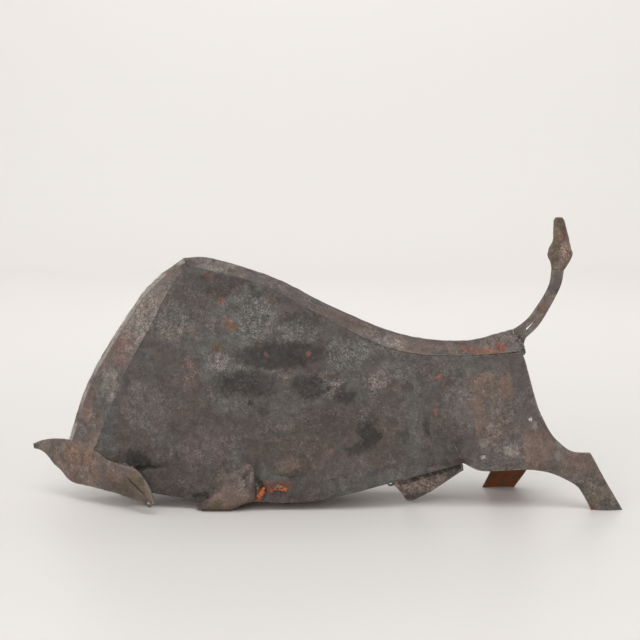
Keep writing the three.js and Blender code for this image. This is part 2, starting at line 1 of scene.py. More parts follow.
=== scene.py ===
# %% [markdown]
# # A charging bull, cut and welded from iron plate
#
# The real bull seems to be a hollow shell: plates that were cut, hammered into shape, joined edge to
# edge and left to weather. Only its left side is seen, and not every joint shows there. Nothing on
# it is a perfect curve, so it can't be made from ready cylinders or spheres. Here every plate is a
# surface: a rule that turns two numbers into a point in space. The rules follow the same named
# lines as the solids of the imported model.
#
# ## The frame
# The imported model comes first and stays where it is. It tells us the size and place of each part.

import math

import bpy
import numpy as np
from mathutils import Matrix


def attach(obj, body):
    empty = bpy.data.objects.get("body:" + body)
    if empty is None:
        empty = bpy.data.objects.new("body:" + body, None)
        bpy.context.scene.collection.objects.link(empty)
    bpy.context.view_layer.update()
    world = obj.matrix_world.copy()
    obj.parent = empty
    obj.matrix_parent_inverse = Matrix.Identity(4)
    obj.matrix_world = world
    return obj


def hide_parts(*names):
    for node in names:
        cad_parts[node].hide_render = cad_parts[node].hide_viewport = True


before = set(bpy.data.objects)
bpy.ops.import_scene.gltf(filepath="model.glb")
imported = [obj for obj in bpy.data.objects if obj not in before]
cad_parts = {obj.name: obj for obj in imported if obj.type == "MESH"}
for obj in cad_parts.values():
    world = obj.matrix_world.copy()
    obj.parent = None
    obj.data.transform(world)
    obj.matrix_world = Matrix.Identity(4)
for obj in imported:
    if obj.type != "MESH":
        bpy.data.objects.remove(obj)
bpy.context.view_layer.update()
print("parts in the frame:", len(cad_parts))

# %% [markdown]
# ## Millimetres and sides
# A smith thinks in millimetres, and Blender in metres. All shapes below are worked out in
# millimetres in the bull's own frame, and moved and scaled once, when they become a mesh. The bull
# charges towards -X and its left side faces -Y.

# %% Units, sides and plate thickness
MM = 0.001
SHIFT = np.array([-1.85, 3.7, 0.0])
LEFT, RIGHT = -1, 1
SIDE_NAMES = {LEFT: "left", RIGHT: "right"}
PLATE = 2.5
SEAM = 0.3
print("plate and seam in millimetres:", PLATE, SEAM)

# %% [markdown]
# ## Curves through points
# The bull is described by a few lines, such as the ridge of its back. Each line is a handful of
# points, and a smooth curve joins them. The curve is worked out for whole arrays at once.

# %% Smooth curves, easing and unit vectors
def curve_through(points, closed=False):
    """A smooth curve through points, as a function of a number from 0 to 1.

    Between two points it is a cubic. Its slope at each of them is half of the step from the point
    before to the point after.
    """
    points = np.asarray(points, float)
    if closed:
        padded = np.vstack([points[-1:], points, points[:2]])
    else:
        padded = np.vstack([2 * points[0] - points[1], points, 2 * points[-1] - points[-2]])
    spans = len(padded) - 3

    def place(t):
        """The cubic between the points before and after t."""
        along = np.clip(np.asarray(t, float), 0, 1) * spans
        first = np.minimum(along.astype(int), spans - 1)
        rest = (along - first)[..., None]
        before, start, end, after = (padded[first + k] for k in range(4))
        slope_in, slope_out = (end - before) / 2, (after - start) / 2
        return (start + rest * slope_in
                + rest ** 2 * (3 * (end - start) - 2 * slope_in - slope_out)
                + rest ** 3 * (2 * (start - end) + slope_in + slope_out))

    return place


def ease(value, low, high):
    """0 below low, 1 above high, and a smooth S between them."""
    share = np.clip((np.asarray(value, float) - low) / (high - low), 0, 1)
    return share * share * (3 - 2 * share)


def unit(vectors):
    """The same directions with length 1."""
    return vectors / np.maximum(np.linalg.norm(vectors, axis=-1, keepdims=True), 1e-9)


def mixed(start, end, share):
    """Start where share is 0, end where it is 1."""
    share = np.asarray(share, float)[..., None]
    return start * (1 - share) + end * share


def mixed_value(start, end, share):
    """The same for plain numbers."""
    return start + (end - start) * share


print("half way on a test curve:", curve_through([[0, 0, 0], [1, 0, 1], [2, 0, 0]])(0.5))

# %% [markdown]
# ## Hammer blows
# Hand-hammered plate is never flat. Wide shallow blows overlap smaller ones, and old rust leaves
# pits. Random heights on a lattice, mixed smoothly, give such a surface, and because the height
# depends only on the place in space, two plates that meet fit each other.

# %% A noise in space and the hammered relief
LATTICE = 32


def noise(points, size, seed):
    """Hills and hollows between -1 and 1, about `size` millimetres across.

    Random heights sit on the corners of cubes. A point mixes the eight corners of its cube, each
    weighted by how near it is, with a smooth S in every direction.
    """
    heights = np.random.default_rng(seed).uniform(-1, 1, (LATTICE,) * 3)
    place = np.asarray(points, float) / size + 3 * LATTICE
    cell = np.floor(place).astype(int)
    share = place - cell
    share = share * share * (3 - 2 * share)
    total = np.zeros(place.shape[:-1])
    for corner in np.ndindex(2, 2, 2):
        weight = np.prod(np.where(corner, share, 1 - share), axis=-1)
        i, j, k = np.moveaxis((cell + corner) % LATTICE, -1, 0)
        total += weight * heights[i, j, k]
    return total


def hammering(points):
    """Height of hammered plate: wide blows, smaller blows, a fine grain, and pits where a last
    noise rises over a limit."""
    blows = 0.42 * noise(points, 21, 1) + 0.24 * noise(points, 9, 2) + 0.1 * noise(points, 4, 3)
    pits = np.clip(noise(points, 2.6, 4) - 0.35, 0, 1)
    return blows - 0.5 * pits


def groove(points, line, width):
    """A cut along a line of x, z and depth: full depth on the line, and gone `width` away.

    The line is a row of straight pieces. Each is tried, and the deepest cut counts.
    """
    line = np.asarray(line, float)
    flat = np.asarray(points)[..., [0, 2]]
    cut = np.zeros(flat.shape[:-1])
    for start, end in zip(line[:-1], line[1:]):
        along = end[:2] - start[:2]
        share = np.clip(((flat - start[:2]) @ along) / (along @ along), 0, 1)
        away = np.linalg.norm(flat - start[:2] - share[..., None] * along, axis=-1)
        depth = start[2] + share * (end[2] - start[2])
        cut = np.maximum(cut, depth * (1 - ease(away, 0, width)))
    return -cut


test_grid = np.stack(np.meshgrid(np.arange(90.0), [0.0], np.arange(90.0)), -1)
print("relief in millimetres, lowest and highest:", hammering(test_grid).min().round(2),
      hammering(test_grid).max().round(2))

# %% [markdown]
# ## From a surface to a plate
# A plate has an outer face, an inner face and a rim. The outer face is a grid of points. The inner
# face lies one thickness behind it, and the rim is a strip of rounded rows between the borders of
# both. Where two plates are welded flush, their borders stay on the common line. Where an edge is
# free, it is drawn in a little and its rim bulges out, as a cut and hammered edge does.

# %% Grids, borders and directions
def grid_quads(numbers):
    """Four corners for each cell of a grid of vertex numbers."""
    corners = numbers[:-1, :-1], numbers[1:, :-1], numbers[1:, 1:], numbers[:-1, 1:]
    return np.stack(corners, -1).reshape(-1, 4)


def border(grid):
    """What lies on the border of a grid, once around."""
    return np.concatenate([grid[:-1, 0], grid[-1, :-1], grid[:0:-1, -1], grid[0, :0:-1]])


def own_normals(grid, away):
    """The direction square to a grid: the cross product of its two steps, on the side of away."""
    square = unit(np.cross(np.gradient(grid, axis=0), np.gradient(grid, axis=1)))
    return square * np.sign(np.sum(square * np.asarray(away, float)))


def common_normals(grids, away):
    """Normals for several grids. Points that grids share get the mean of their normals."""
    normals = [own_normals(grid, away) for grid in grids]
    points = np.concatenate([grid.reshape(-1, 3) for grid in grids])
    spots, number = np.unique(np.round(points, 3), axis=0, return_inverse=True)
    total = np.zeros_like(spots)
    np.add.at(total, number.ravel(), np.concatenate([n.reshape(-1, 3) for n in normals]))
    shared = np.split(unit(total)[number.ravel()], np.cumsum([n[..., 0].size for n in normals])[:-1])
    return normals, [part.reshape(grid.shape) for part, grid in zip(shared, grids)]


def ends_of(grid, axis):
    """Distance from the first and from the last point along every line of a grid."""
    step = np.linalg.norm(np.diff(grid, axis=axis), axis=-1)
    travelled = np.concatenate([np.zeros_like(step.take([0], axis)), np.cumsum(step, axis)], axis)
    return travelled, travelled.take([-1], axis) - travelled


print("cells of a grid of 3 by 4 points:", len(grid_quads(np.arange(12).reshape(3, 4))))

# %% [markdown]
# ## The plate maker
# Each of a plate's four sides has an openness: 0 where it is welded flush to its neighbour, 1 where
# the edge is free. A flush fold between two plates is softened, because a hammered bend has no
# sharp corner: near the fold, both plates sink towards it along the direction that they share.

# %% Edges that are drawn in and folds that are softened
FOLD_REACH = 5.0
WEAR_REACH = 2.2


def shaped_edges(grid, own, shared, openness, pull):
    """The outer face before the relief, its directions, how far each point's rim bulges, how worn
    it is, and the way out at the border.

    Within reach of a side, an open edge moves inwards, and a flush one sinks along the direction
    that it shares with its neighbour, by the square of the nearness.
    """
    face, direction = grid.copy(), own.copy()
    rim = np.zeros(grid.shape[:2])
    wear = np.zeros(grid.shape[:2])
    out = np.zeros_like(grid)
    for axis in (0, 1):
        tangent = unit(np.gradient(grid, axis=axis))
        for end, distance in enumerate(ends_of(grid, axis)):
            place = -end
            inwards = tangent if end == 0 else -tangent
            open_here = np.broadcast_to(openness[axis][end], grid.shape[1 - axis])
            open_here = np.expand_dims(open_here, axis)
            common = np.expand_dims(shared.take(place, axis), axis)
            change = common - np.expand_dims(own.take(place, axis), axis)
            near = np.clip(1 - distance / FOLD_REACH, 0, 1)
            slope = np.sum(np.expand_dims(inwards.take(place, axis), axis) * common, -1)
            sink = 0.5 * FOLD_REACH * slope * (1 - open_here) * near ** 2
            face += (inwards * (0.02 + pull * open_here * near)[..., None]
                     * (near > 0)[..., None] + common * sink[..., None])
            direction += change * near[..., None]
            wear = np.maximum(wear, open_here * np.clip(1 - distance / WEAR_REACH, 0, 1))
            border_rows = [slice(None), slice(None)]
            border_rows[axis] = place
            rim[tuple(border_rows)] = np.maximum(rim[tuple(border_rows)],
                                                 np.squeeze(open_here, axis))
            out[tuple(border_rows)] -= inwards.take(place, axis)
    return face, unit(direction), rim, wear, unit(out)


print("an edge is shaped over", FOLD_REACH, "mm")

# %% The plate maker
WALL_ROWS = 5
INNER_RELIEF = 0.4


def plate_surface(grid, own, shared, openness, thickness=PLATE, relief=hammering, bulge=0.45,
                  pull=0.55):
    """Points and quads of a closed plate, and how worn, how high and how far inside each point is.

    The outer face is raised by the relief. The inner face is the same grid, one thickness along the
    directions. Rim rows swing from one border to the other on a half ellipse.
    """
    face, direction, rim, wear, out = shaped_edges(grid, own, shared, openness, pull)
    height = relief(grid)
    inner = face - direction * (thickness - INNER_RELIEF * height)[..., None]
    outer = face + direction * height[..., None]

    turn = np.linspace(0, math.pi, WALL_ROWS + 2)[1:-1, None]
    first, last = border(outer), border(inner)
    swell = bulge * border(rim)[None, :, None] * border(out)[None]
    share = ((1 - np.cos(turn)) / 2)[..., None]
    wall = first * (1 - share) + last * share + swell * np.sin(turn)[..., None]

    cells = grid.shape[0] * grid.shape[1]
    outside = np.arange(cells).reshape(grid.shape[:2])
    inside = outside + cells
    around = 2 * cells + np.arange(wall[..., 0].size).reshape(wall.shape[:2])
    loops = np.vstack([border(outside), around, border(inside)])
    loops = np.hstack([loops, loops[:, :1]])
    quads = np.vstack([grid_quads(outside), grid_quads(inside)[:, ::-1], grid_quads(loops)[:, ::-1]])
    points = np.vstack([outer.reshape(-1, 3), inner.reshape(-1, 3), wall.reshape(-1, 3)])

    def on_all_faces(values, at_border, inner_share):
        """The values outside, a share of them inside, and the border's own on the rim."""
        on_rim = np.broadcast_to(at_border, around.shape)
        return np.concatenate([values.ravel(), values.ravel() * inner_share, on_rim.ravel()])

    hidden = np.concatenate([np.zeros(cells), np.ones(cells),
                             np.broadcast_to(share[..., 0], around.shape).ravel()])
    return points, quads, {"wear": on_all_faces(wear, border(rim), INNER_RELIEF),
                           "height": on_all_faces(height, border(height), INNER_RELIEF),
                           "inside": hidden}


print("rows of a rim between its two faces:", WALL_ROWS)

# %% [markdown]
# ## Tubes and solid lumps
# Weld beads, the tuft and the bars aren't plates. They are rings of points one after another, closed
# by a single point at each end.

# %% The ring maker
def ring_surface(rings, start_point=None, end_point=None):
    """Points and faces of a closed body from rings of points: quads between neighbouring rings, and
    a fan of triangles from a middle point at each end."""
    rings = np.asarray(rings, float)
    count, size = rings.shape[:2]
    numbers = np.arange(count * size).reshape(count, size)
    wrapped = np.hstack([numbers, numbers[:, :1]])
    quads = grid_quads(wrapped)
    start = rings[0].mean(0) if start_point is None else np.asarray(start_point, float)
    end = rings[-1].mean(0) if end_point is None else np.asarray(end_point, float)
    points = np.vstack([rings.reshape(-1, 3), start, end])
    hub = count * size
    around = np.arange(size)
    after = (around + 1) % size
    first = np.stack([np.full(size, hub), numbers[0][after], numbers[0][around]], -1)
    last = np.stack([np.full(size, hub + 1), numbers[-1][around], numbers[-1][after]], -1)
    return points, quads, np.vstack([first[:, ::-1], last[:, ::-1]])


print("points of a test tube:", len(ring_surface(np.random.default_rng(0).random((4, 8, 3)))[0]))

# %% [markdown]
# ## Making the mesh
# One function turns arrays into a Blender object. It checks with the signed volume that the faces
# point outwards, puts the piece on the frame's one body and hides the solid that it stands for.

# %% Put a piece into the scene
pieces = {}
SHARP_ANGLE = math.radians(55)


def signed_volume(points, faces):
    """A sixth of the sum of a . (b x c) over all triangles: negative where faces point inwards."""
    total = 0.0
    for k in range(1, faces.shape[1] - 1):
        a, b, c = points[faces[:, 0]], points[faces[:, k]], points[faces[:, k + 1]]
        total += np.sum(a * np.cross(b, c)) / 6
    return total


def add_piece(name, node, surface):
    """A mesh object from points and faces in millimetres, with its marks as point attributes."""
    points, quads, extra = surface
    marks, triangles = (extra, None) if isinstance(extra, dict) else ({}, extra)
    volume = signed_volume(points, quads)
    if triangles is not None:
        volume += signed_volume(points, triangles)
    faces = quads.tolist() + ([] if triangles is None else triangles.tolist())
    if volume < 0:
        faces = [face[::-1] for face in faces]
    mesh = bpy.data.meshes.new(name)
    mesh.from_pydata(((points + SHIFT) * MM).tolist(), [], faces)
    mesh.polygons.foreach_set("use_smooth", np.ones(len(faces), bool))
    mesh.set_sharp_from_angle(angle=SHARP_ANGLE)
    for mark, values in marks.items():
        mesh.attributes.new(mark, "FLOAT", "POINT").data.foreach_set("value", values)
    made = bpy.data.objects.new(name, mesh)
    bpy.context.scene.collection.objects.link(made)
    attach(made, "root")
    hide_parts(node)
    pieces[name] = made
    print(f"{name}: {len(points)} points, {abs(volume) / 1000:.1f} cm3")
    return made


print("edges bent by more than this many degrees stay sharp:", round(math.degrees(SHARP_ANGLE)))


# %% [markdown]
# ## The lines of the shell
# The shell hangs on three lines on each side. The ridge runs along the top of the neck and the back.
# The crease lies below it, where the sloping facets meet the flank. The hem is the lower edge. All
# three have stations from the poll behind the horns to the root of the tail, and the ridge and the
# crease turn a corner at the hump.

# %% Stations of ridge, crease and hem
HUMP, HAUNCH, RUMP = 4, 9, 10
RIDGE = [(-178.5, 38), (-161, 87.5), (-130.5, 137.5), (-114, 157), (-95, 171.5), (-75.5, 171),
         (-33.5, 158), (11, 136), (56, 118), (99.5, 113), (134.5, 121)]
CREASE = [(-139, 18, 86.5), (-118, 16, 126), (-105, 11, 150.5), (-93, 6, 168), (-75.5, 9, 164),
          (-36, 13.5, 153.5), (7.5, 16, 130), (52.5, 16, 109.5), (97.5, 14, 105), (141.5, 6, 106.5)]
HEM = [(-107, 30, 9), (-82.5, 35, 6.5), (-70.5, 36, 6), (-58, 37, 6), (-44, 37, 6), (-14, 37, 5.5),
       (17.5, 36, 10.5), (55.5, 34, 20.5), (99.5, 32, 32)]
POLL_CREASE = {LEFT: (-159, 16, 35), RIGHT: (-182.5, 9, 33)}
POLL_HEM = {LEFT: (-141, 27, 15), RIGHT: (-176, 7, 16)}
BAR_WIDTH = 4.2
RIDGE_EDGE = (BAR_WIDTH + SEAM) / 2


def sided(points, side):
    """Points given by x, distance from the middle and z, put on one side of the bull."""
    return np.asarray(points, float) * (1, side, 1)


def line_with_corner(points):
    """Two smooth curves that meet in a corner at the hump, as one function of the station."""
    neck, back = curve_through(points[:HUMP + 1]), curve_through(points[HUMP:])

    def place(u):
        """The neck's curve up to the hump, and the back's behind it."""
        u = np.asarray(u, float)
        return np.where((u <= HUMP)[..., None], neck(u / HUMP), back((u - HUMP) / (RUMP - HUMP)))

    return place


ridge_line = line_with_corner(np.array([(x, 0, z) for x, z in RIDGE], float))
crease_line = {side: line_with_corner(sided([POLL_CREASE[side], *CREASE], side))
               for side in (LEFT, RIGHT)}
hem_curve = {side: curve_through(sided([POLL_HEM[side], *HEM], side)) for side in (LEFT, RIGHT)}
print("ridge at the hump:", ridge_line(4.0))

# %% [markdown]
# ## Facets and flanks
# A facet is straight from the ridge bar to the crease. A flank hangs from the crease and swells
# outwards half way down, like a sheet that was hammered over a hollow. Towards the haunch it gets
# flatter and bows forwards.

# %% The rules for facets and flanks
FLANK_SWELL, SEAM_BOW = 8.0, 12.0


def facet_point(side, u, v):
    """Straight from the ridge bar's edge to the crease."""
    top = ridge_line(u)
    top[..., 1] = side * RIDGE_EDGE
    return mixed(top, crease_line[side](u), v)


def flank_point(side, u, w):
    """Straight from crease to hem, plus a half wave outwards, and forwards near the haunch."""
    u, w = np.broadcast_arrays(np.asarray(u, float), np.asarray(w, float))
    wave = np.sin(math.pi * w)
    fullness = 0.2 + 0.8 * ease(u, 0, HUMP) - 0.35 * ease(u, 6, HAUNCH)
    point = mixed(crease_line[side](u), hem_curve[side](u / HAUNCH), w)
    point[..., 1] += side * FLANK_SWELL * fullness * wave
    point[..., 0] -= SEAM_BOW * ease(u, 5.5, HAUNCH) * wave
    return point


def brisket_top(u):
    """Where, between crease 0 and hem 1, the brisket starts: it ends at station 3.5."""
    share = 0.73 + 0.13 * np.clip(u / 3, 0, 1)
    return share + (1 - share) * np.clip((u - 3) / 0.5, 0, 1)


print("middle of the left flank:", flank_point(LEFT, 5.0, 0.5))

# %% [markdown]
# ## Where the neck ends
# The plates of the neck run forwards until they touch the head. Seen from above, the head is one
# plate with two slight bends. The neck rests on its upper edge, and further down it is welded to
# its back. For each row of a neck plate we look for the station where it comes free of the head,
# and let the row start there.

# %% The head's plan and the rows that start behind it
HEAD_PLAN = np.array([(-206, 28), (-177.5, -2), (-165.5, -12), (-117, -50)], float)
HEAD_TOP = np.array([(-206.2, 34.5), (-182.5, 43), (-177.5, 43.5), (-171.5, 42.5), (-165, 40.5),
                     (-155.5, 38), (-147, 33.5), (-127, 30.5)], float)
HEAD_GAP = -0.25
HEAD_AWAY = np.array([-0.64, -0.77, 0.0])
FLUSH_REACH = 9.0


def head_depth(x):
    """Where the front of the head lies at x. Its first and last straight part are carried on
    beyond their ends."""
    depth = np.interp(x, HEAD_PLAN[:, 0], HEAD_PLAN[:, 1])
    for (end_x, end_y), (next_x, next_y), way in ((HEAD_PLAN[-1], HEAD_PLAN[-2], 1),
                                                  (HEAD_PLAN[0], HEAD_PLAN[1], -1)):
        slope = (end_y - next_y) / (end_x - next_x)
        depth = np.where(way * (x - end_x) > 0, end_y + (x - end_x) * slope, depth)
    return depth


def head_reach(points):
    """How far behind the front of the head a point is. The front has three straight parts, and the
    least distance counts."""
    flat = points[..., :2]
    along = unit(np.diff(HEAD_PLAN, axis=0))
    back = np.stack([-along[:, 1], along[:, 0]], -1)
    return np.min([(flat - start) @ way for start, way in zip(HEAD_PLAN[:-1], back)], axis=0)


def behind_head(points):
    """How far behind the back of the head a point is, or how far over its upper edge, whichever is
    more."""
    over = points[..., 2] - np.interp(points[..., 0], HEAD_TOP[:, 0], HEAD_TOP[:, 1])
    return np.maximum(head_reach(points) - PLATE, over) - HEAD_GAP


def start_behind(rule, rows):
    """For each row, the station from which the surface stays behind the head."""
    fine = np.linspace(0, 2, 801)
    distance = behind_head(rule(fine[:, None], rows[None, :]))
    in_front = distance < 0
    last = len(fine) - 1 - np.argmax(in_front[::-1], axis=0)
    low = np.clip(last, 0, len(fine) - 2)
    column = np.arange(len(rows))
    before, after = distance[low, column], distance[low + 1, column]
    found = fine[low] + (fine[1] - fine[0]) * before / (before - after)
    return np.where(in_front.any(axis=0), found, 0.0)


def from_head(rule, stations, rows):
    """A grid whose first column lies on the head. Stations up to 2 are spread between that place and
    station 2. Where a row rests on the head's upper edge, its end is beaten forwards until it is
    flush with the face."""
    start = start_behind(rule, rows)[None, :]
    station = np.asarray(stations, float)[:, None]
    u = np.where(station < 2, start + station * (2 - start) / 2, station)
    grid = rule(u, np.broadcast_to(rows[None, :], u.shape))
    step = head_reach(grid[:1])
    forwards = step * (1 - ease(step, 1.4, PLATE + HEAD_GAP))
    near = 1 - ease(ends_of(grid, 0)[0], 0, FLUSH_REACH)
    return grid + HEAD_AWAY * (forwards * near)[..., None]


print("the ridge leaves the head at station",
      start_behind(lambda u, v: facet_point(LEFT, u, v), np.zeros(1)).round(3))

# %% [markdown]
# ## Hind legs
# No seam shows at the hock, so a leg may well be one plate with its haunch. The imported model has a
# haunch and a shank, and one rule gives both. The rows start on the seam with the flank and then
# follow the front and the rear edge of the leg. The two hind legs differ: the left one is stretched
# back, and the right one stands forward.

# %% The rule for a hind leg
REAR_TOP = [(141.5, 6, 106.5), (143.8, 9, 99.5), (146.5, 12, 89.5), (149, 15.5, 79.5), (152, 19, 69.5)]
LEG_FRONT = {
    LEFT: [(110.5, 33, 27), (128, 34, 27.5), (145, 35, 28), (160, 35, 25.5), (176, 35, 17.5),
           (182, 34.5, 10), (187.5, 34, 0)],
    RIGHT: [(107, 33.5, 30.5), (114, 35, 29), (120, 36.5, 26.5), (124, 38, 22.5), (124.5, 38.5, 16),
            (121.5, 39.5, 8), (117.5, 40, 0)]}
LEG_REAR = {
    LEFT: [(155, 22, 62.5), (158.5, 25, 55.5), (163.5, 28, 49), (174, 31.5, 41.5), (187, 33, 40.5),
           (196.5, 34, 23), (210, 34, 0)],
    RIGHT: [(154, 22, 61), (156, 26, 53.5), (158, 30, 46), (160, 34, 39), (160, 37, 31),
            (151.5, 38.5, 15), (141.5, 40, 0)]}
SEAM_ROWS, HOCK_ROW, LAST_ROW = 4, 9, 11
HAUNCH_SWELL, SHANK_SWELL = 6, 2.5


def rear_edge(side, row):
    """Two smooth curves that meet in a corner at the hock."""
    points = sided([*REAR_TOP, *LEG_REAR[side]], side)
    haunch, shank = curve_through(points[:HOCK_ROW + 1]), curve_through(points[HOCK_ROW:])
    return np.where((row <= HOCK_ROW)[..., None], haunch(row / HOCK_ROW),
                    shank((row - HOCK_ROW) / (LAST_ROW - HOCK_ROW)))


def leg_point(side, row, s):
    """Straight from the front to the rear edge, plus a half wave outwards that gets flatter towards
    the shank. The top row follows the crease."""
    row, s = np.broadcast_arrays(np.asarray(row, float), np.asarray(s, float))
    front = curve_through(sided([HEM[-1], *LEG_FRONT[side]], side))
    seam = flank_point(side, np.full_like(row, HAUNCH), np.clip(row / SEAM_ROWS, 0, 1))
    below = front((row - SEAM_ROWS) / (LAST_ROW - SEAM_ROWS))
    start = np.where((row <= SEAM_ROWS)[..., None], seam, below)
    point = mixed(start, rear_edge(side, row), s)
    crease = crease_line[side]
    chord = mixed(crease(np.full_like(s, HAUNCH)), crease(np.full_like(s, RUMP)), s)
    point += (crease(HAUNCH + s) - chord) * np.clip(1 - row, 0, 1)[..., None]
    swell = mixed_value(HAUNCH_SWELL, SHANK_SWELL, ease(row, SEAM_ROWS + 1, HOCK_ROW))
    point[..., 1] += side * swell * np.sin(math.pi * s) * np.clip(row / 2, 0, 1)
    return point


print("left hoof's rear corner:", leg_point(LEFT, LAST_ROW, 1.0))

# %% [markdown]
# ## The plates of one side
# All grids of one side are made together, so that plates that meet share their points and the
# directions there. Then each becomes a closed plate. The old cracks and the dart at the brisket are
# cut into the relief, because they are part of the surface.

# %% Relief with the cracks of the left side
CRACKS = [
    ([(-37.5, 20, 0.5), (-28.2, 25.4, 1.1), (-20.4, 23.2, 1.0), (-14.3, 24.6, 0.2)], 1.2),
    ([(-50, 36, 0.2), (-43.5, 23, 1.0), (-39, 14, 1.2)], 3.5),
    ([(-127, 27.4, 1.7), (-117, 29.2, 1.2), (-110, 29.6, 0.7), (-102, 30.8, 0.0)], 3.2),
    ([(78, 60, 0.0), (80, 55, 0.3), (83.5, 47.5, 0.5), (88.5, 39, 0.6), (97, 33, 0.5)], 5.0),
]


def shell_relief(points):
    """The hammering, faded out where a plate comes within three millimetres of the head."""
    return hammering(points) * ease(behind_head(points), 0, 3)


def left_relief(points):
    """The shell's relief, with cracks and folds cut into it along lines that wander a little."""
    wander = points + np.stack([noise(points, 3, 11), 0 * points[..., 0], noise(points, 3, 12)], -1)
    return shell_relief(points) + sum(groove(wander, line, width) for line, width in CRACKS)


SIDE_RELIEF = {LEFT: left_relief, RIGHT: shell_relief}
print("cracks and folds:", len(CRACKS))

# %% Grids of both sides
PER_STATION, FLANK_ROWS, LEG_COLUMNS, NARROW_ROWS, SHANK_ROWS = 26, 116, 52, 22, 85
BRISKET_END = 3.43
SHELL_AWAY = (-0.3, 1.0, 0.35)


def side_grids(side):
    """Grids of the facets, flank, brisket, haunch and shank of one side."""
    neck = np.arange(HUMP * PER_STATION + 1) / PER_STATION
    back = np.concatenate([np.arange(HUMP * PER_STATION, HAUNCH * PER_STATION) / PER_STATION,
                           HAUNCH + np.arange(LEG_COLUMNS + 1) / LEG_COLUMNS])
    body = np.arange(HAUNCH * PER_STATION + 1) / PER_STATION
    front = body[body <= BRISKET_END]
    across = np.linspace(0, 1, NARROW_ROWS)
    down = np.linspace(0, 1, FLANK_ROWS + 1)

    def facet(u, v):
        """This side's facet."""
        return facet_point(side, u, v)

    def flank(u, w):
        """The flank down to the brisket's upper edge."""
        return flank_point(side, u, w * brisket_top(u))

    def brisket(u, w):
        """The rest of the way down to the hem."""
        return flank_point(side, u, brisket_top(u) + (1 - brisket_top(u)) * w)

    rows = np.concatenate([SEAM_ROWS * down, np.linspace(SEAM_ROWS, LAST_ROW, SHANK_ROWS)[1:]])
    leg = leg_point(side, rows[:, None], np.linspace(0, 1, LEG_COLUMNS + 1)[None, :])
    hock = int(np.argmin(np.abs(rows - HOCK_ROW)))
    grids = {
        "neck_facet": from_head(facet, neck, across),
        "back_facet": facet_point(side, back[:, None], across[None, :]),
        "flank": from_head(flank, body, down),
        "brisket": from_head(brisket, front, across),
        "haunch": leg[:hock + 1],
        "hind_shank": leg[hock:],
    }
    return grids, {"back": back, "body": body, "rows": rows, "hock": hock}


print({name: grid.shape[:2] for name, grid in side_grids(LEFT)[0].items()})

# %% Openness of every side, and the plates
FREE, CREASE_OPEN, SEAM_OPEN = 1.0, 0.75, 0.2
RUB = {"flank": 0.2, "brisket": 0.2, "hind_shank": 0.8}


def wavy(points, amount=0.45):
    """A free edge that isn't quite straight: its openness follows a noise."""
    return FREE + amount * noise(points, 6, 21)


def side_openness(grids, lines):
    """How open each plate's sides are: first and last column, then first and last row."""
    back, body, rows, hock = lines["back"], lines["body"], lines["rows"], lines["hock"]
    crease_back = CREASE_OPEN * ease(back, 6.5, 7.5)
    crease_body = CREASE_OPEN * ease(body, 6.5, 7.5)
    hem = wavy(grids["flank"][:, -1]) * ease(body, 3.2, 3.6)
    seam_flank = SEAM_OPEN * ease(np.linspace(0, SEAM_ROWS, FLANK_ROWS + 1), 3, 3.9)
    seam_leg = np.where(rows <= SEAM_ROWS, SEAM_OPEN * ease(rows, 3, 3.9),
                        wavy(np.stack([rows * 12, rows, rows], -1)))
    crease_leg = np.full(LEG_COLUMNS + 1, CREASE_OPEN)
    rear = wavy(np.stack([rows * 12, rows + 40, rows], -1), 0.3)
    return {
        "neck_facet": ((0, 0), (0.6, 0)),
        "back_facet": ((0, 0), (0.4, crease_back)),
        "flank": ((0, seam_flank), (crease_body, hem)),
        "brisket": ((0, 0), (0, wavy(grids["brisket"][:, -1]))),
        "haunch": ((crease_leg, 0), (seam_leg[:hock + 1], rear[:hock + 1])),
        "hind_shank": ((0, 0.6), (seam_leg[hock:], rear[hock:])),
    }


STREAK_WIDTH, STREAK_WEAR = 3.9, 2.1


def bare_streak(grid):
    """Extra wear in a strip along the ridge, fading out where a noise is low."""
    near = ease(STREAK_WIDTH - ends_of(grid, 1)[0], 0.2, 1.6)
    return (STREAK_WEAR * near * ease(noise(grid, 15, 27), -1.1, -0.1)).ravel()


def make_side(side):
    """All shell plates of one side as closed pieces."""
    grids, lines = side_grids(side)
    away = np.array(SHELL_AWAY) * (1, side, 1)
    own, shared = common_normals(list(grids.values()), away)
    openness = side_openness(grids, lines)
    for (name, grid), mine, common in zip(grids.items(), own, shared):
        full = f"{SIDE_NAMES[side]}_{name}"
        if name in ("neck_facet", "flank"):
            common[0] = unit(common[0] + HEAD_AWAY)
        surface = plate_surface(grid, mine, common, openness[name], relief=SIDE_RELIEF[side])
        surface[0][:, 2] = np.maximum(surface[0][:, 2], 0.0)
        surface[2]["wear"] *= RUB.get(name, 1.0)
        if name == "neck_facet":
            streak = bare_streak(grid)
            surface[2]["wear"][:streak.size] = np.maximum(surface[2]["wear"][:streak.size], streak)
        add_piece(full + "_plate", full, surface)


make_side(LEFT)
make_side(RIGHT)

# %% [markdown]
# ## The bars along the ridge
# A narrow pale band runs along the neck, like a flat bar on edge between the facets. Its top was
# hammered, so it waves a little and shows small bites. The back shows no such band. Its bar is
# assumed to go on in the same way to the tail. Both are rounded rectangles carried along the ridge.

# %% Crest and spine bars
BAR_DEPTH, BAR_PROUD = 4.0, 0.4
SECTION_POWER = 0.34
RING_POINTS = 28
CREST_RINGS, SPINE_RINGS = 260, 420


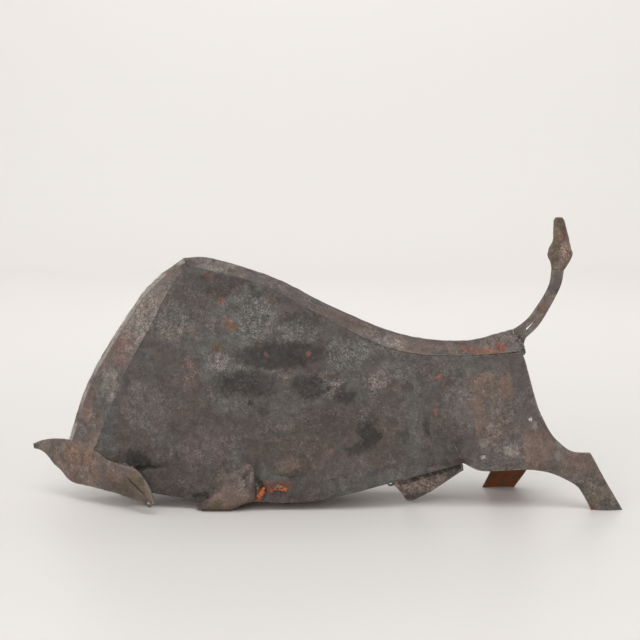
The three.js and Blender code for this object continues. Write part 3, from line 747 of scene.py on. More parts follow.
def bar_along(stations, seed):
    """A rounded rectangle carried along the ridge line.

    The section is a superellipse: the cosine and sine of the angle, each with its size raised to a
    third. The frame of each section is the ridge's tangent, turned a quarter, and the Y axis.
    """
    middle = ridge_line(stations)
    along = unit(np.gradient(middle, axis=0))
    up = np.stack([-along[:, 2], 0 * along[:, 0], along[:, 0]], -1)
    angle = np.linspace(0, 2 * math.pi, RING_POINTS, endpoint=False)
    c, s = np.cos(angle), np.sin(angle)
    core = BAR_PROUD - BAR_DEPTH / 2
    wide = np.sign(c) * np.abs(c) ** SECTION_POWER * BAR_WIDTH / 2
    high = np.sign(s) * np.abs(s) ** SECTION_POWER * BAR_DEPTH / 2 + core
    rings = (middle[:, None] + up[:, None] * high[None, :, None]
             + np.array([0, 1, 0]) * wide[None, :, None])
    bites = 0.3 * noise(rings, 5, seed) + 0.16 * noise(rings, 2.4, seed + 1)
    outward = unit(rings - (middle[:, None] + up[:, None] * core))
    points, quads, caps = ring_surface(rings + outward * (bites - 0.15)[..., None])
    height = np.concatenate([bites.ravel(), [0, 0]])
    wear = np.concatenate([np.broadcast_to(ease(high, 0, 0.4), rings.shape[:2]).ravel(), [0, 0]])
    return points, quads, caps, {"wear": wear, "height": height, "inside": 0 * wear}


def add_solid(name, node, surface):
    """A solid lump: its faces are quads and the fans at its ends, and its marks come last."""
    points, quads, caps, marks = surface
    made = add_piece(name, node, (points, quads, caps))
    for mark, values in marks.items():
        attribute = made.data.attributes.new(mark, "FLOAT", "POINT")
        attribute.data.foreach_set("value", values)
    return made


ridge_start = float(start_behind(lambda u, v: facet_point(LEFT, u, v), np.zeros(1))[0])
add_solid("crest_bar", "crest_strip",
          bar_along(np.linspace(ridge_start, HUMP - 0.01, CREST_RINGS), 31))
add_solid("spine_bar", "spine_strip",
          bar_along(np.linspace(HUMP + 0.01, RUMP, SPINE_RINGS), 33))

# %% [markdown]
# ## The head
# The head looks like one crescent of thick plate, bent at both brows and hammered round on its
# front, with the horns as its ends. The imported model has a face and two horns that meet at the
# bends. The neck's plates are taken to be welded to the back.

# %% The rule for the head's plates
HEAD = {
    "right_horn": ([(-206.2, 34.5), (-199, 38.5), (-190.5, 41.5), (-182.5, 43), (-177.5, 43.5)],
                   [(-205.4, 31), (-198, 30.2), (-190, 23.7), (-184, 19.7), (-179, 15.5)],
                   [0.1, 0.5, 0.9, 0.8, 0.4]),
    "face_plate": ([(-177.5, 43.5), (-171.5, 42.5), (-165, 40.5)],
                   [(-179, 15.5), (-172.5, 12.5), (-166.5, 12.5)],
                   [0.4, 0.3, 0.4]),
    "left_horn": ([(-165, 40.5), (-155.5, 38), (-147, 33.5), (-136.5, 32), (-127, 30.5),
                   (-119.5, 23.5), (-115, 15.5), (-113.7, 8.7)],
                  [(-166.5, 12.5), (-155, 12), (-144.5, 11), (-137, 10), (-130.5, 9), (-124.5, 8),
                   (-120, 6.5), (-117, 5)],
                  [0.4, 0.5, 0.7, 0.9, 1, 1, 0.6, 0.1])}
HORN_SWELL = 2.5


def head_point(name, t, v):
    """Straight from the upper to the lower edge, plus a swell whose section is fullest a third of
    the way down and whose size changes along the horn."""
    upper, lower, swell = HEAD[name]

    def edge(points):
        """A smooth curve along an edge of the head, with its depth read off the plan."""
        points = np.asarray(points, float)
        return curve_through(np.stack([points[:, 0], head_depth(points[:, 0]), points[:, 1]], -1))

    t, v = np.broadcast_arrays(np.asarray(t, float), np.asarray(v, float))
    fullness = curve_through(np.stack([swell] * 3, -1))(t)[..., 0]
    section = np.interp(v, [0, 1 / 3, 2 / 3, 1], [0, 1, 0.75, 0])
    rounded = np.sin(math.pi * v) ** 0.8
    height = HORN_SWELL * fullness * (0.55 * section + 0.45 * rounded)
    return mixed(edge(upper)(t), edge(lower)(t), v) + HEAD_AWAY * height[..., None]


print("middle of the face:", head_point("face_plate", 0.5, 0.5))

# %% Horns and face
HORN_CREASE = [(-136.5, 26, 0.3), (-132, 22.8, 0.9), (-125.5, 17.7, 0.9), (-121.5, 14.6, 0.6),
               (-118.8, 12.6, 0.0)]
HORN_SCRATCH = [(-151, 35, 0.3), (-146.5, 31, 0.35), (-142.5, 28.5, 0.2)]
NECK_AWAY = np.array([-0.62, -0.56, 0.55])
PER_POINT, HEAD_ROWS = 10, 45


def away_from_neck(points):
    """0 on the line where the neck rests on the head, 1 from four millimetres below it and on the
    free part of the left horn."""
    below = np.interp(points[..., 0], HEAD_TOP[:, 0], HEAD_TOP[:, 1]) - points[..., 2]
    return np.maximum(ease(below, 0, 4), ease(points[..., 0], -150, -143))


def head_relief(points):
    """Rounder, closer blows than on the body, the two soft brows, and the crease on the near horn."""
    blows = 0.4 * noise(points, 10, 41) + 0.2 * noise(points, 5, 42) + 0.08 * noise(points, 2.5, 43)
    brows = 0.7 * np.exp(-((points[..., 0] + 176.5) / 2.6) ** 2)
    brows += 0.5 * np.exp(-((points[..., 0] + 165) / 2.4) ** 2)
    marks = groove(points, HORN_CREASE, 1.3) + groove(points, HORN_SCRATCH, 0.8)
    return (blows + brows) * away_from_neck(points) + marks


head_grids = {}
for name, (upper, *_) in HEAD.items():
    count = PER_POINT * (len(upper) - 1) + (2 * PER_POINT + 1 if name == "face_plate" else 1)
    head_grids[name] = head_point(name, np.linspace(0, 1, count)[:, None],
                                  np.linspace(0, 1, HEAD_ROWS)[None, :])
own, shared = common_normals(list(head_grids.values()), HEAD_AWAY)
head_ends = {"right_horn": (0.2, 0), "face_plate": (0, 0), "left_horn": (0, 0.6)}
for (name, grid), mine, common in zip(head_grids.items(), own, shared):
    top_x = grid[:, 0, 0]
    free = np.clip(1 - ease(top_x, -182, -178) + ease(top_x, -153, -145), 0, 1)
    common[:, 0] = unit(common[:, 0] + NECK_AWAY * (1 - free)[:, None])
    surface = plate_surface(grid, mine, common, (head_ends[name], (free, 1)), relief=head_relief,
                            pull=0.35)
    piece = "face_plate_hammered" if name == "face_plate" else name + "_plate"
    add_piece(piece, name, surface)

# %% [markdown]
# ## Forelegs
# The folded forelegs are thick lumps of plate welded on the outside of the shell. Their outline is a
# closed curve. Seen from the edge inwards, the surface rises from the flank to a dome: steeply at
# the free edges, and softly along the top, where the smith beat it down to the flank.

# %% Forelegs
FORELEG = [(-45, 23), (-48, 33), (-61, 27), (-70.5, 25.5), (-76, 18), (-77.5, 11), (-85.5, 4.5),
           (-83, 0.6), (-76, 0), (-63, 0), (-54, 4), (-44.5, 9)]
FORELEG_MIDDLE = np.array([-63.0, 15.0])
FORELEG_EDGE, FORELEG_DOME, FORELEG_DEPTH = 40.5, 5, 1.4
OUTLINE_POINTS, PROBE_STEP = 180, 3
HOOF_NOTCH = [(-87, 9.2, 1.4), (-80, 10.4, 1.1), (-73, 10.8, 0.0)]
FORELEG_FOLD = [(-56, 31, 0.2), (-50, 22, 0.7), (-47, 10, 0.5), (-50, 4, 0.0)]


def foreleg_relief(points):
    """Flatter hammering than on the body, the notch over the hoof, and the fold beside the weld."""
    cuts = groove(points, HOOF_NOTCH, 1.8) + groove(points, FORELEG_FOLD, 2.6)
    return 0.6 * hammering(points) + cuts


def flank_depth(side, flat):
    """Distance of the flank from the middle plane at x and z: that of the nearest grid point."""
    u, w = np.meshgrid(np.linspace(0.5, 6, 140), np.linspace(0.5, 1, 50), indexing="ij")
    grid = flank_point(side, u, w).reshape(-1, 3)
    rows = flat.reshape(-1, 2)
    nearest = np.array([np.argmin(np.sum((grid[:, [0, 2]] - row) ** 2, -1)) for row in rows])
    return np.abs(grid[nearest, 1]).reshape(flat.shape[:-1])


def flank_under(side, flat):
    """The flank's depth under a grid of places. Every third row and column is looked up, and the
    rest is read off straight lines between them."""
    rows, columns = (np.arange(size) for size in flat.shape[:2])
    coarse = flank_depth(side, flat[::PROBE_STEP, ::PROBE_STEP])
    along = np.array([np.interp(columns, columns[::PROBE_STEP], row, period=len(columns))
                      for row in coarse])
    return np.array([np.interp(rows, rows[::PROBE_STEP], column) for column in along.T]).T


def foreleg_surface(side):
    """Rings from the outline to the middle, each a share of the outline's size. At the free edges
    the height over the flank is the square root of one minus the share's ninth power, which is
    steep. Along the top it is a long smooth S."""
    turn = np.linspace(0, 1, OUTLINE_POINTS, endpoint=False)
    outline = curve_through(FORELEG, closed=True)(turn)
    outline[:, 1] = np.maximum(outline[:, 1], 0)
    share = np.concatenate([1 - 0.5 * (np.linspace(0, 1, 16) ** 2), np.linspace(0.47, 0.04, 16)])
    flat = FORELEG_MIDDLE + (outline - FORELEG_MIDDLE)[None] * share[:, None, None]
    flat[..., 1] = np.where(outline[None, :, 1] <= 0.3,
                            FORELEG_MIDDLE[1] * (1 - share[:, None]), flat[..., 1])
    base = flank_under(side, flat)
    seam = ease(outline[:, 0], -52, -46) * (1 - ease(outline[:, 1], 20, 29))
    soft = (ease(outline[:, 1], 10.5, 15) * (1 - seam))[None, :]
    steep = np.sqrt(np.clip(1 - share[:, None] ** 9, 0, 1))
    rise = steep * (1 - soft) + ease(1 - share[:, None], 0, 0.75) * soft
    top = FORELEG_EDGE + FORELEG_DOME * (1 - share[:, None] ** 2)
    front = base + (top - base) * rise
    outer = np.stack([flat[..., 0], side * front, flat[..., 1]], -1)
    relief = foreleg_relief(outer) * np.maximum(rise, 0.3)
    outer[..., 1] += side * relief
    back = np.stack([flat[..., 0], side * (base - FORELEG_DEPTH), flat[..., 1]], -1)
    points, quads, caps = ring_surface(np.concatenate([outer[::-1], back]))
    none, whole = np.zeros_like(base), np.ones_like(base)
    rubbed = 0.5 * ease(share, 0.9, 1)[::-1, None] * (1 - soft)
    marks = {"wear": (rubbed + none, 0.3 * whole, 0), "height": (relief[::-1], none, 0),
             "inside": (none, whole, 1)}
    return points, quads, caps, {
        mark: np.append(np.concatenate([outer_values, back_values]).ravel(), [0, back_end])
        for mark, (outer_values, back_values, back_end) in marks.items()}


for side in (LEFT, RIGHT):
    name = SIDE_NAMES[side] + "_foreleg"
    add_solid(name + "_lump", name, foreleg_surface(side))

# %% [markdown]
# ## The rump plate
# How the rear is closed isn't seen. A narrow plate between the haunches is assumed below the tail.
# It follows their rear edges, two seam widths inside their inner faces.

# %% Rump plate
def rump_point(t, s):
    """Straight across from one haunch's rear edge to the other's, a millimetre in front of them."""
    t, s = np.broadcast_arrays(np.asarray(t, float), np.asarray(s, float))
    edge = curve_through(np.array([*REAR_TOP, *LEG_REAR[LEFT][:3]], float))(t)
    half_width = edge[..., 1] - PLATE - 2 * SEAM
    return np.stack([edge[..., 0] - 1, s * half_width, edge[..., 2]], -1)


RUMP_TOP, RUMP_BOTTOM, RUMP_ROWS, RUMP_COLUMNS = 0.06, 0.93, 70, 36
grid = rump_point(np.linspace(RUMP_TOP, RUMP_BOTTOM, RUMP_ROWS)[:, None],
                  np.linspace(-1, 1, RUMP_COLUMNS)[None, :])
normals = own_normals(grid, (1, 0, 0.3))
add_piece("rump_closing_plate", "rump_plate",
          plate_surface(grid, normals, normals, ((0.3, 1), (0, 0))))

# %% [markdown]
# ## Tail and tuft
# The tail is a flat bar, forged in a curve, with a slit left at its root. The bar is a grid between
# its two edges, and the slit is a missing strip of cells. The tuft was hammered to a leaf with a
# ridge down its middle: diamond sections, one above the other.

# %% Tail bar with its slit
TAIL_FRONT = [(134.5, 121.2), (140.5, 125), (146, 130), (151, 137), (156, 145), (160, 154),
              (161.3, 163.6)]
TAIL_REAR = [(142.3, 107), (142.7, 110.5), (144.5, 115.5), (149.5, 120.3), (155, 127), (163.5, 142),
             (168.5, 153), (170.4, 163.6)]
SLIT_LOW, SLIT_HIGH = np.array([144.1, 121.0]), np.array([150.6, 127.6])
SLIT_HALF = 1.45, 0.45
TAIL_THICK = 5.0
TAIL_ROWS, TAIL_COLUMNS = 121, 23
SLIT_FRONT, SLIT_REAR = 10, 12


def tail_grid(y):
    """Rows from the front to the rear edge at depth y. Two of a row's points hug the slit's sides,
    and the others are spread evenly before, between and behind them."""
    t = np.linspace(0, 1, TAIL_ROWS)
    front, rear = (curve_through(np.array([(x, y, z) for x, z in edge], float))(t)
                   for edge in (TAIL_FRONT, TAIL_REAR))
    span = rear - front
    width = np.linalg.norm(span, axis=-1)
    way = unit(span)
    rail = SLIT_HIGH - SLIT_LOW
    offset = SLIT_LOW - front[:, [0, 2]]
    across = ((offset[:, 0] * rail[1] - offset[:, 1] * rail[0])
              / (way[:, 0] * rail[1] - way[:, 2] * rail[0]))
    centre = np.clip(across / width, 0.3, 0.7)
    height = front[:, 2] + centre * span[:, 2]
    half = np.interp(height, [SLIT_LOW[1], SLIT_HIGH[1]], SLIT_HALF) / width
    knots = np.array([0, SLIT_FRONT, SLIT_REAR, TAIL_COLUMNS - 1])
    s = np.array([np.interp(np.arange(TAIL_COLUMNS), knots, [0, c - h, c + h, 1])
                  for c, h in zip(centre, half)])
    return mixed(front[:, None], rear[:, None], s)


def tail_surface():
    """Front and back faces with the slit's cells left out, a rounded rim and the slit's walls."""
    near = tail_grid(-TAIL_THICK / 2)
    middle = near[:, (SLIT_FRONT + SLIT_REAR) // 2, [0, 2]]
    low, high = (int(np.argmin(np.linalg.norm(middle - end, axis=-1)))
                 for end in (SLIT_LOW, SLIT_HIGH))
    normals = own_normals(near, (0, -1, 0))
    points, quads, marks = plate_surface(near, normals, normals, ((0.2, 0), (1.0, 1.0)),
                                         thickness=TAIL_THICK, bulge=0.9, pull=1.0)
    cells = near.shape[0] * near.shape[1]
    slit = np.arange(cells).reshape(near.shape[:2])[low:high + 1, SLIT_FRONT:SLIT_REAR + 1]
    on_faces = quads.max(axis=1) < 2 * cells
    kept = quads[~(np.isin(quads % cells, slit).all(axis=1) & on_faces)]
    loop = border(slit)
    loop = np.append(loop, loop[0])
    walls = np.stack([loop[:-1], loop[1:], loop[1:] + cells, loop[:-1] + cells], -1)
    return points, np.vstack([kept, walls]), marks


add_piece("tail_bar_forged", "tail_bar", tail_surface())

# %% Tuft
TUFT = [(163.3, 161.2, 170.5), (168.5, 160.2, 174.2), (173.5, 158.3, 176.1), (178.5, 159.3, 175),
        (184, 161.8, 173.6), (191, 162.2, 172.1), (200, 162.4, 170.1)]
TUFT_SWELL, TUFT_TIP_SWELL, TUFT_WIDEST = 4.5, 1.9, 17.8
TUFT_POWER = 1.5
TUFT_RINGS, TUFT_POINTS = 90, 48


def tuft_surface():
    """Diamond sections: the cosine of the angle moves along x and the sine along y, each raised to
    the power of one and a half, so that the ridges stay sharp and the sides hollow slightly."""
    rows = curve_through(TUFT)(np.linspace(0, 1, TUFT_RINGS))
    angle = np.linspace(0, 2 * math.pi, TUFT_POINTS, endpoint=False)
    c, s = np.cos(angle), np.sin(angle)
    half = (rows[:, 2] - rows[:, 1]) / 2 * (1 - 0.25 * ease(rows[:, 0], 197.8, 200))
    wide = (np.sign(c) * np.abs(c) ** TUFT_POWER)[None, :] * half[:, None]
    middle = (rows[:, 1] + rows[:, 2])[:, None] / 2
    swell = TUFT_SWELL * (rows[:, 2] - rows[:, 1]) / TUFT_WIDEST
    near_tip = ease(rows[:, 0], 184, 200)
    swell = swell * (1 - near_tip) + TUFT_TIP_SWELL * near_tip
    deep = (np.sign(s) * np.abs(s) ** TUFT_POWER)[None, :] * swell[:, None]
    rings = np.stack([middle + wide, deep, np.broadcast_to(rows[:, :1], wide.shape)], -1)
    blows = 0.3 * noise(rings, 5, 51) + 0.15 * noise(rings, 2.2, 52)
    hub = np.stack([middle[:, 0], 0 * middle[:, 0], rows[:, 0]], -1)[:, None]
    rings = rings + unit(rings - hub) * (blows - 0.2)[..., None]
    points, quads, caps = ring_surface(rings)
    wear = np.append(np.broadcast_to(np.abs(c) ** 6, wide.shape).ravel(), [0.5, 0.5])
    marks = {"wear": wear, "height": np.append(blows.ravel(), [0, 0]), "inside": 0 * wear}
    return points, quads, caps, marks


add_solid("tail_tuft_leaf", "tail_tuft", tuft_surface())

# %% [markdown]
# ## The sheath
# A pointed scrap of plate hangs under the rear of the belly. How it is held isn't seen, and a tack
# at each end is assumed. Its face was beaten with the edge of the hammer, so the marks run from
# top to bottom.

# %% Sheath
SHEATH_UPPER = [(52, 29.5, 23), (58, 28.5, 25.5), (66, 28, 28), (77, 27.5, 31), (88, 27, 33.5),
                (98.5, 26.5, 35)]
SHEATH_SWELL = 2
SHEATH_LOWER = [(50.8, 28, 16.6), (56.3, 22, 9.6), (61.5, 16, 2.2), (70.5, 17, 5), (85, 21, 14.8),
                (99, 27, 26)]


def sheath_point(t, v):
    """Straight from the upper to the lower edge, plus a half wave outwards."""
    t, v = np.broadcast_arrays(np.asarray(t, float), np.asarray(v, float))
    upper, lower = (curve_through(sided(line, LEFT)) for line in (SHEATH_UPPER, SHEATH_LOWER))
    point = mixed(upper(t), lower(t), v)
    point[..., 1] -= SHEATH_SWELL * np.sin(math.pi * v) * np.sin(math.pi * t)
    return point


def sheath_relief(points):
    """Narrow blows that run up and down: a noise that changes slowly with z."""
    stretched = points * (1, 1, 0.3)
    return 0.35 * noise(stretched, 2.4, 61) + 0.3 * noise(points, 6, 62)


grid = sheath_point(np.linspace(0, 1, 90)[:, None], np.linspace(0, 1, 44)[None, :])
normals = own_normals(grid, (0, -1, -0.4))
add_piece("sheath_scrap", "sheath",
          plate_surface(grid, normals, normals, ((0.6, 0.6), (0.4, 1)), relief=sheath_relief))

# %% [markdown]
# ## Weld beads
# Orange, rough spots behind the near foreleg and a rough spot at the tail's root are taken for
# welds. The other beads are assumed, where plates have to be joined. A weld is a row of small frozen
# puddles. The bead is a tube whose radius swells and shrinks along the path, pressed flat towards
# the plate and roughened.

# %% Weld beads
BEAD_RINGS, BEAD_POINTS, PUDDLES = 60, 20, 5


def bead_surface(path, radius, side, proud, seed):
    """A tube along the path, pressed flat: proud is its height as a share of its width. The radius
    follows |sin| for the puddles and a noise for the spatter, and runs out towards both ends."""
    t = np.linspace(0, 1, BEAD_RINGS)
    middle = curve_through(sided(path, side))(t)
    along = unit(np.gradient(middle, axis=0))
    outwards = unit(np.cross(np.cross(along, (0, side, 0)), along))
    across = np.cross(along, outwards)
    angle = np.linspace(0, 2 * math.pi, BEAD_POINTS, endpoint=False)
    size = radius * np.clip(np.sin(math.pi * (0.06 + 0.88 * t)), 0, 1) ** 0.5
    puddles = 0.82 + 0.22 * np.abs(np.sin(t * math.pi * PUDDLES))
    flat = (np.cos(angle)[None, :, None] * outwards[:, None] * proud
            + np.sin(angle)[None, :, None] * across[:, None])
    rings = middle[:, None] + flat * (size * puddles)[:, None, None]
    rough = 0.34 * radius * noise(rings, 1.9, seed) + 0.16 * radius * noise(rings, 0.9, seed + 1)
    rings = rings + flat * rough[..., None]
    points, quads, caps = ring_surface(rings)
    height = np.append(rough.ravel(), [0, 0])
    return points, quads, caps, {"wear": 0 * height, "height": height, "inside": 0 * height}


FRESH_WELDS = ("left_foreleg_weld", "right_foreleg_weld", "left_belly_weld")
BEADS = {
    "left_belly_weld": (LEFT, 2.1, [(-34, 38.2, 13.5), (-29, 38.4, 17), (-23, 38.2, 14.5)]),
    "left_hock_weld": (LEFT, 1.5, [(178, 31, 21.5), (181.7, 32, 29.5), (185, 29.5, 36.5)]),
    "right_hock_weld": (RIGHT, 1.5, [(131, 34.6, 19), (142, 35.6, 23.5), (154, 34, 28.5)]),
    "left_horn_weld": (LEFT, 1.8, [(-142, 27, 30), (-136, 30.5, 30.5), (-129, 33, 29.5)]),
    "right_horn_weld": (RIGHT, 1.0, [(-182, 8, 29), (-180.8, 7.4, 23.5), (-179.6, 6.8, 18)]),
    "sheath_front_tack": (LEFT, 0.8, [(46.6, 33.6, 18.6), (48.6, 31.4, 16.9), (51.6, 28.8, 16.9)]),
    "sheath_rear_tack": (LEFT, 0.9, [(97, 28.4, 33), (98, 28.4, 30.5), (98.7, 28.3, 28)]),
}
PAIRED_BEADS = {
    "foreleg_weld": (2.2, [(-42.3, 38.7, 7.5), (-40.6, 39, 12), (-38.5, 38.8, 17)]),
    "tail_weld": (1.9, [(136.3, 3.4, 119.4), (139.4, 4.2, 113.3), (141.6, 5.4, 108.4),
                        (142.4, 6.2, 104.2)]),
}
FRESH_PROUD, OLD_PROUD = 0.8, 0.4
FIRST_BEAD_SEED = 70
for side in (LEFT, RIGHT):
    for name, (radius, path) in PAIRED_BEADS.items():
        BEADS[f"{SIDE_NAMES[side]}_{name}"] = (side, radius, path)
for number, (name, (side, radius, path)) in enumerate(BEADS.items()):
    proud = FRESH_PROUD if name in FRESH_WELDS else OLD_PROUD
    add_solid(name + "_bead", name,
              bead_surface(path, radius, side, proud, FIRST_BEAD_SEED + 2 * number))

# %% [markdown]
# ## Colour as it is seen
# Colours are picked as screen values from 0 to 255. The shader wants them linear, so each is
# turned once, by the usual curve.

# %% Paint and node helpers
def paint(red, green, blue):
    """A screen colour as linear values with full opacity."""
    share = np.array([red, green, blue]) / 255
    linear = np.where(share <= 0.04045, share / 12.92, ((share + 0.055) / 1.055) ** 2.4)
    return (*linear.tolist(), 1.0)


def add_node(tree, kind, inputs=None, **settings):
    """A shader node with its settings, and each input either linked or set."""
    made = tree.nodes.new(kind)
    for key, value in settings.items():
        setattr(made, key, value)
    for key, value in (inputs or {}).items():
        if isinstance(value, bpy.types.NodeSocket):
            tree.links.new(value, made.inputs[key])
        else:
            made.inputs[key].default_value = value
    return made


def blend_colour(tree, share, first, second):
    """First where share is 0, second where it is 1."""
    made = add_node(tree, "ShaderNodeMix", {0: share, 6: first, 7: second}, data_type="RGBA")
    return made.outputs[2]


def spread(tree, value, low, high, to_low=0.0, to_high=1.0):
    """A value's range from low to high, turned into another range and held there."""
    made = add_node(tree, "ShaderNodeMapRange", {
        "Value": value, "From Min": low, "From Max": high, "To Min": to_low, "To Max": to_high},
        interpolation_type="SMOOTHSTEP")
    return made.outputs[0]


def multiply(tree, first, second):
    """The product of two values."""
    return add_node(tree, "ShaderNodeMath", {0: first, 1: second}, operation="MULTIPLY").outputs[0]


def mottle(tree, place, size, detail=4.0, roughness=0.6, shift=0.0):
    """A noise whose blots are about `size` millimetres wide."""
    moved = add_node(tree, "ShaderNodeVectorMath", {0: place, 1: (shift, shift * 0.7, -shift)},
                     operation="ADD").outputs[0]
    made = add_node(tree, "ShaderNodeTexNoise", {
        "Vector": moved, "Scale": 1 / size, "Detail": detail, "Roughness": roughness})
    return made.outputs["Fac"]


print("a mid grey in linear values:", np.round(paint(119, 119, 119), 3))

# %% [markdown]
# ## The patina
# The iron's colour comes from several thin layers. Warm mill scale and blue-grey oxide lie in large
# blots, brown rust has crept in between, and a crust of curly pale flecks and dark pits sits on top.
# Hollows are darkened as painted shade, and edges are rubbed pale. The one piece of the inside that
# shows is rusty, so all of the inside is. Layers of noise in object space make the blots. The large
# marks that give this bull its face are placed one by one, as ellipses with frayed borders. Some of
# them are painted shadow, shade and glints.

# %% Tones
TONES = {
    # The two darkest tones also paint shade and shadow, the pale dusty one also paints highlights, and
    # the brightest one also paints glints.
    "scale": (76, 71, 68), "umber": (78, 69, 64), "mauve": (94, 86, 83), "taupe": (110, 97, 90),
    "plum": (96, 79, 76), "brown": (110, 90, 79), "olive": (88, 77, 61), "slate": (84, 82, 79),
    "steel": (79, 80, 81), "soot": (45, 42, 40), "pine": (58, 60, 53), "dust": (122, 115, 109),
    "bright": (184, 178, 170), "rust": (110, 68, 56), "pink": (124, 82, 77), "ochre": (108, 75, 48),
    "ember": (184, 96, 40), "char": (33, 29, 27), "clay": (138, 76, 44)}
LARGE_MARK = 6.0
LOOSE_FRAY, TIGHT_FRAY = (9, 24), (3.2, 8)
print("tones:", ", ".join(TONES))

# %% Ragged marks and the crust
def ellipse_share(tree, place, mark, strength):
    """How much a point belongs to a mark: its distance from the middle, in half widths and half
    heights, turned into a share that falls off softly around 1."""
    x, z, wide, high = mark
    offset = add_node(tree, "ShaderNodeVectorMath", {0: place, 1: (x, 0, z)},
                      operation="SUBTRACT").outputs[0]
    scaled = add_node(tree, "ShaderNodeVectorMath", {0: offset, 1: (1 / wide, 0, 1 / high)},
                      operation="MULTIPLY").outputs[0]
    distance = add_node(tree, "ShaderNodeVectorMath", {0: scaled}, operation="LENGTH")
    return spread(tree, distance.outputs["Value"], 1.18, 0.62, 0.0, strength)


def fray(tree, place, size, reach):
    """Places that are pushed about by a noise, so that a mark's border is ragged."""
    wobble = add_node(tree, "ShaderNodeTexNoise", {
        "Vector": place, "Scale": 1 / size, "Detail": 6.0, "Roughness": 0.72}).outputs["Color"]
    centred = add_node(tree, "ShaderNodeVectorMath", {0: wobble, 1: (0.5, 0.5, 0.5)},
                       operation="SUBTRACT").outputs[0]
    return add_node(tree, "ShaderNodeVectorMath", {0: centred, 1: (reach, reach, reach), 2: place},
                    operation="MULTIPLY_ADD").outputs[0]


def crust_layers(tree, place, amount):
    """A brightness factor. Pale curls lie where a noise is close to its middle value, broken up by
    a wider noise. Dark pits lie where another noise is low. A fine grain covers everything."""
    middle = add_node(tree, "ShaderNodeMath", {0: mottle(tree, place, 1.7, 4, 0.66, 15), 1: 0.5},
                      operation="SUBTRACT").outputs[0]
    near = add_node(tree, "ShaderNodeMath", {0: middle}, operation="ABSOLUTE").outputs[0]
    curls = multiply(tree, spread(tree, near, 0.055, 0.018),
                     spread(tree, mottle(tree, place, 4, 4, 0.7, 60), 0.38, 0.54))
    pits = spread(tree, mottle(tree, place, 2.0, 4, 0.66, 25), 0.44, 0.34)
    brightness = spread(tree, multiply(tree, curls, amount), 0, 1, 1, 2.6)
    brightness = multiply(tree, brightness, spread(tree, multiply(tree, pits, amount), 0, 1, 1, 0.35))
    grain = spread(tree, mottle(tree, place, 1.5, 3, 0.8, 5), 0.33, 0.67, 0.8, 1.2)
    blots = spread(tree, mottle(tree, place, 6, 5, 0.7, 33), 0.35, 0.65, 0.83, 1.17)
    return multiply(tree, brightness, multiply(tree, grain, blots))


print("a large mark is more than", 2 * LARGE_MARK, "mm wide or high")

# %% Colour from the large to the small
def base_colour(tree, place, base, marks, specks, blot):
    """The main tone, with the warm and the cool one in large blots, then the marks one by one, and
    small specks of rust."""
    main, warm, cool = (paint(*TONES[tone]) for tone in base)
    colour = blend_colour(tree, spread(tree, mottle(tree, place, 27 * blot, 6, 0.66, 40), 0.44, 0.6),
                          main, warm)
    colour = blend_colour(tree, spread(tree, mottle(tree, place, 36 * blot, 5, 0.62), 0.48, 0.64),
                          colour, cool)
    loose, tight = fray(tree, place, *LOOSE_FRAY), fray(tree, place, *TIGHT_FRAY)
    for *mark, tone, strength in marks:
        frayed = loose if max(mark[2:]) > LARGE_MARK else tight
        colour = blend_colour(tree, ellipse_share(tree, frayed, mark, strength), colour,
                              paint(*TONES[tone]))
    rusted = spread(tree, mottle(tree, place, 6.5 * blot, 5, 0.72, 130), 0.6, 0.72, 0, specks)
    return blend_colour(tree, rusted, colour, paint(*TONES["rust"]))


def crust_amount(tree, place, zones, crusty):
    """How thick the crust is: wide blots everywhere, and more in the zones."""
    amount = spread(tree, mottle(tree, place, 19, 4, 0.65, 70), 0.42, 0.62, 0.4 * crusty, 1.8 * crusty)
    loose = fray(tree, place, *LOOSE_FRAY)
    for *zone, strength in zones:
        amount = add_node(tree, "ShaderNodeMath", {
            0: amount, 1: ellipse_share(tree, loose, zone, strength)}, operation="MAXIMUM").outputs[0]
    return amount


def pale_dots(tree, place, colour):
    """Single pale grains, in some areas only."""
    dots = multiply(tree, spread(tree, mottle(tree, place, 1.3, 1, 0.5, 90), 0.72, 0.78, 0, 0.5),
                    spread(tree, mottle(tree, place, 14, 3, 0.6, 95), 0.45, 0.62))
    return blend_colour(tree, dots, colour, paint(*TONES["bright"]))


print("size and reach of a large mark's fringe in millimetres:", *LOOSE_FRAY)

# %% What use and weather add
BUMP_DEPTH = 0.9


def from_mesh(tree, mark):
    """A point attribute of the piece's mesh."""
    return add_node(tree, "ShaderNodeAttribute", attribute_name=mark).outputs["Fac"]


def worn_and_rusty(tree, place, colour, rubbed, inside):
    """Deep places get painted shade, as dark as char, edges are rubbed dusty, the most worn places
    bare, and the inside rusty. Each is a share read from the mesh, broken up by a noise."""
    # Painted shade: deep places of the relief, among them the cracks and folds, turn the darkest tone.
    colour = blend_colour(tree, spread(tree, from_mesh(tree, "height"), -0.35, -1.1, 0, 0.75),
                          colour, paint(*TONES["char"]))
    wear = from_mesh(tree, "wear")
    worn = multiply(tree, spread(tree, wear, 0.2, 0.95, 0, 2 * rubbed),
                    spread(tree, mottle(tree, place, 4, 4, 0.7, 200), 0.4, 0.6))
    colour = blend_colour(tree, worn, colour, paint(*TONES["dust"]))
    bare = multiply(tree, spread(tree, wear, 1.0, 1.9, 0, 0.5),
                    spread(tree, mottle(tree, place, 2.6, 4, 0.7, 210), 0.34, 0.56, 0.25, 1))
    colour = blend_colour(tree, bare, colour, paint(*TONES["bright"]))
    rusty = blend_colour(tree, spread(tree, mottle(tree, place, 8, 5, 0.7, 300), 0.4, 0.6),
                         paint(*TONES[inside]), paint(*TONES["ochre"]))
    return blend_colour(tree, spread(tree, from_mesh(tree, "inside"), 0.35, 0.9), colour, rusty)


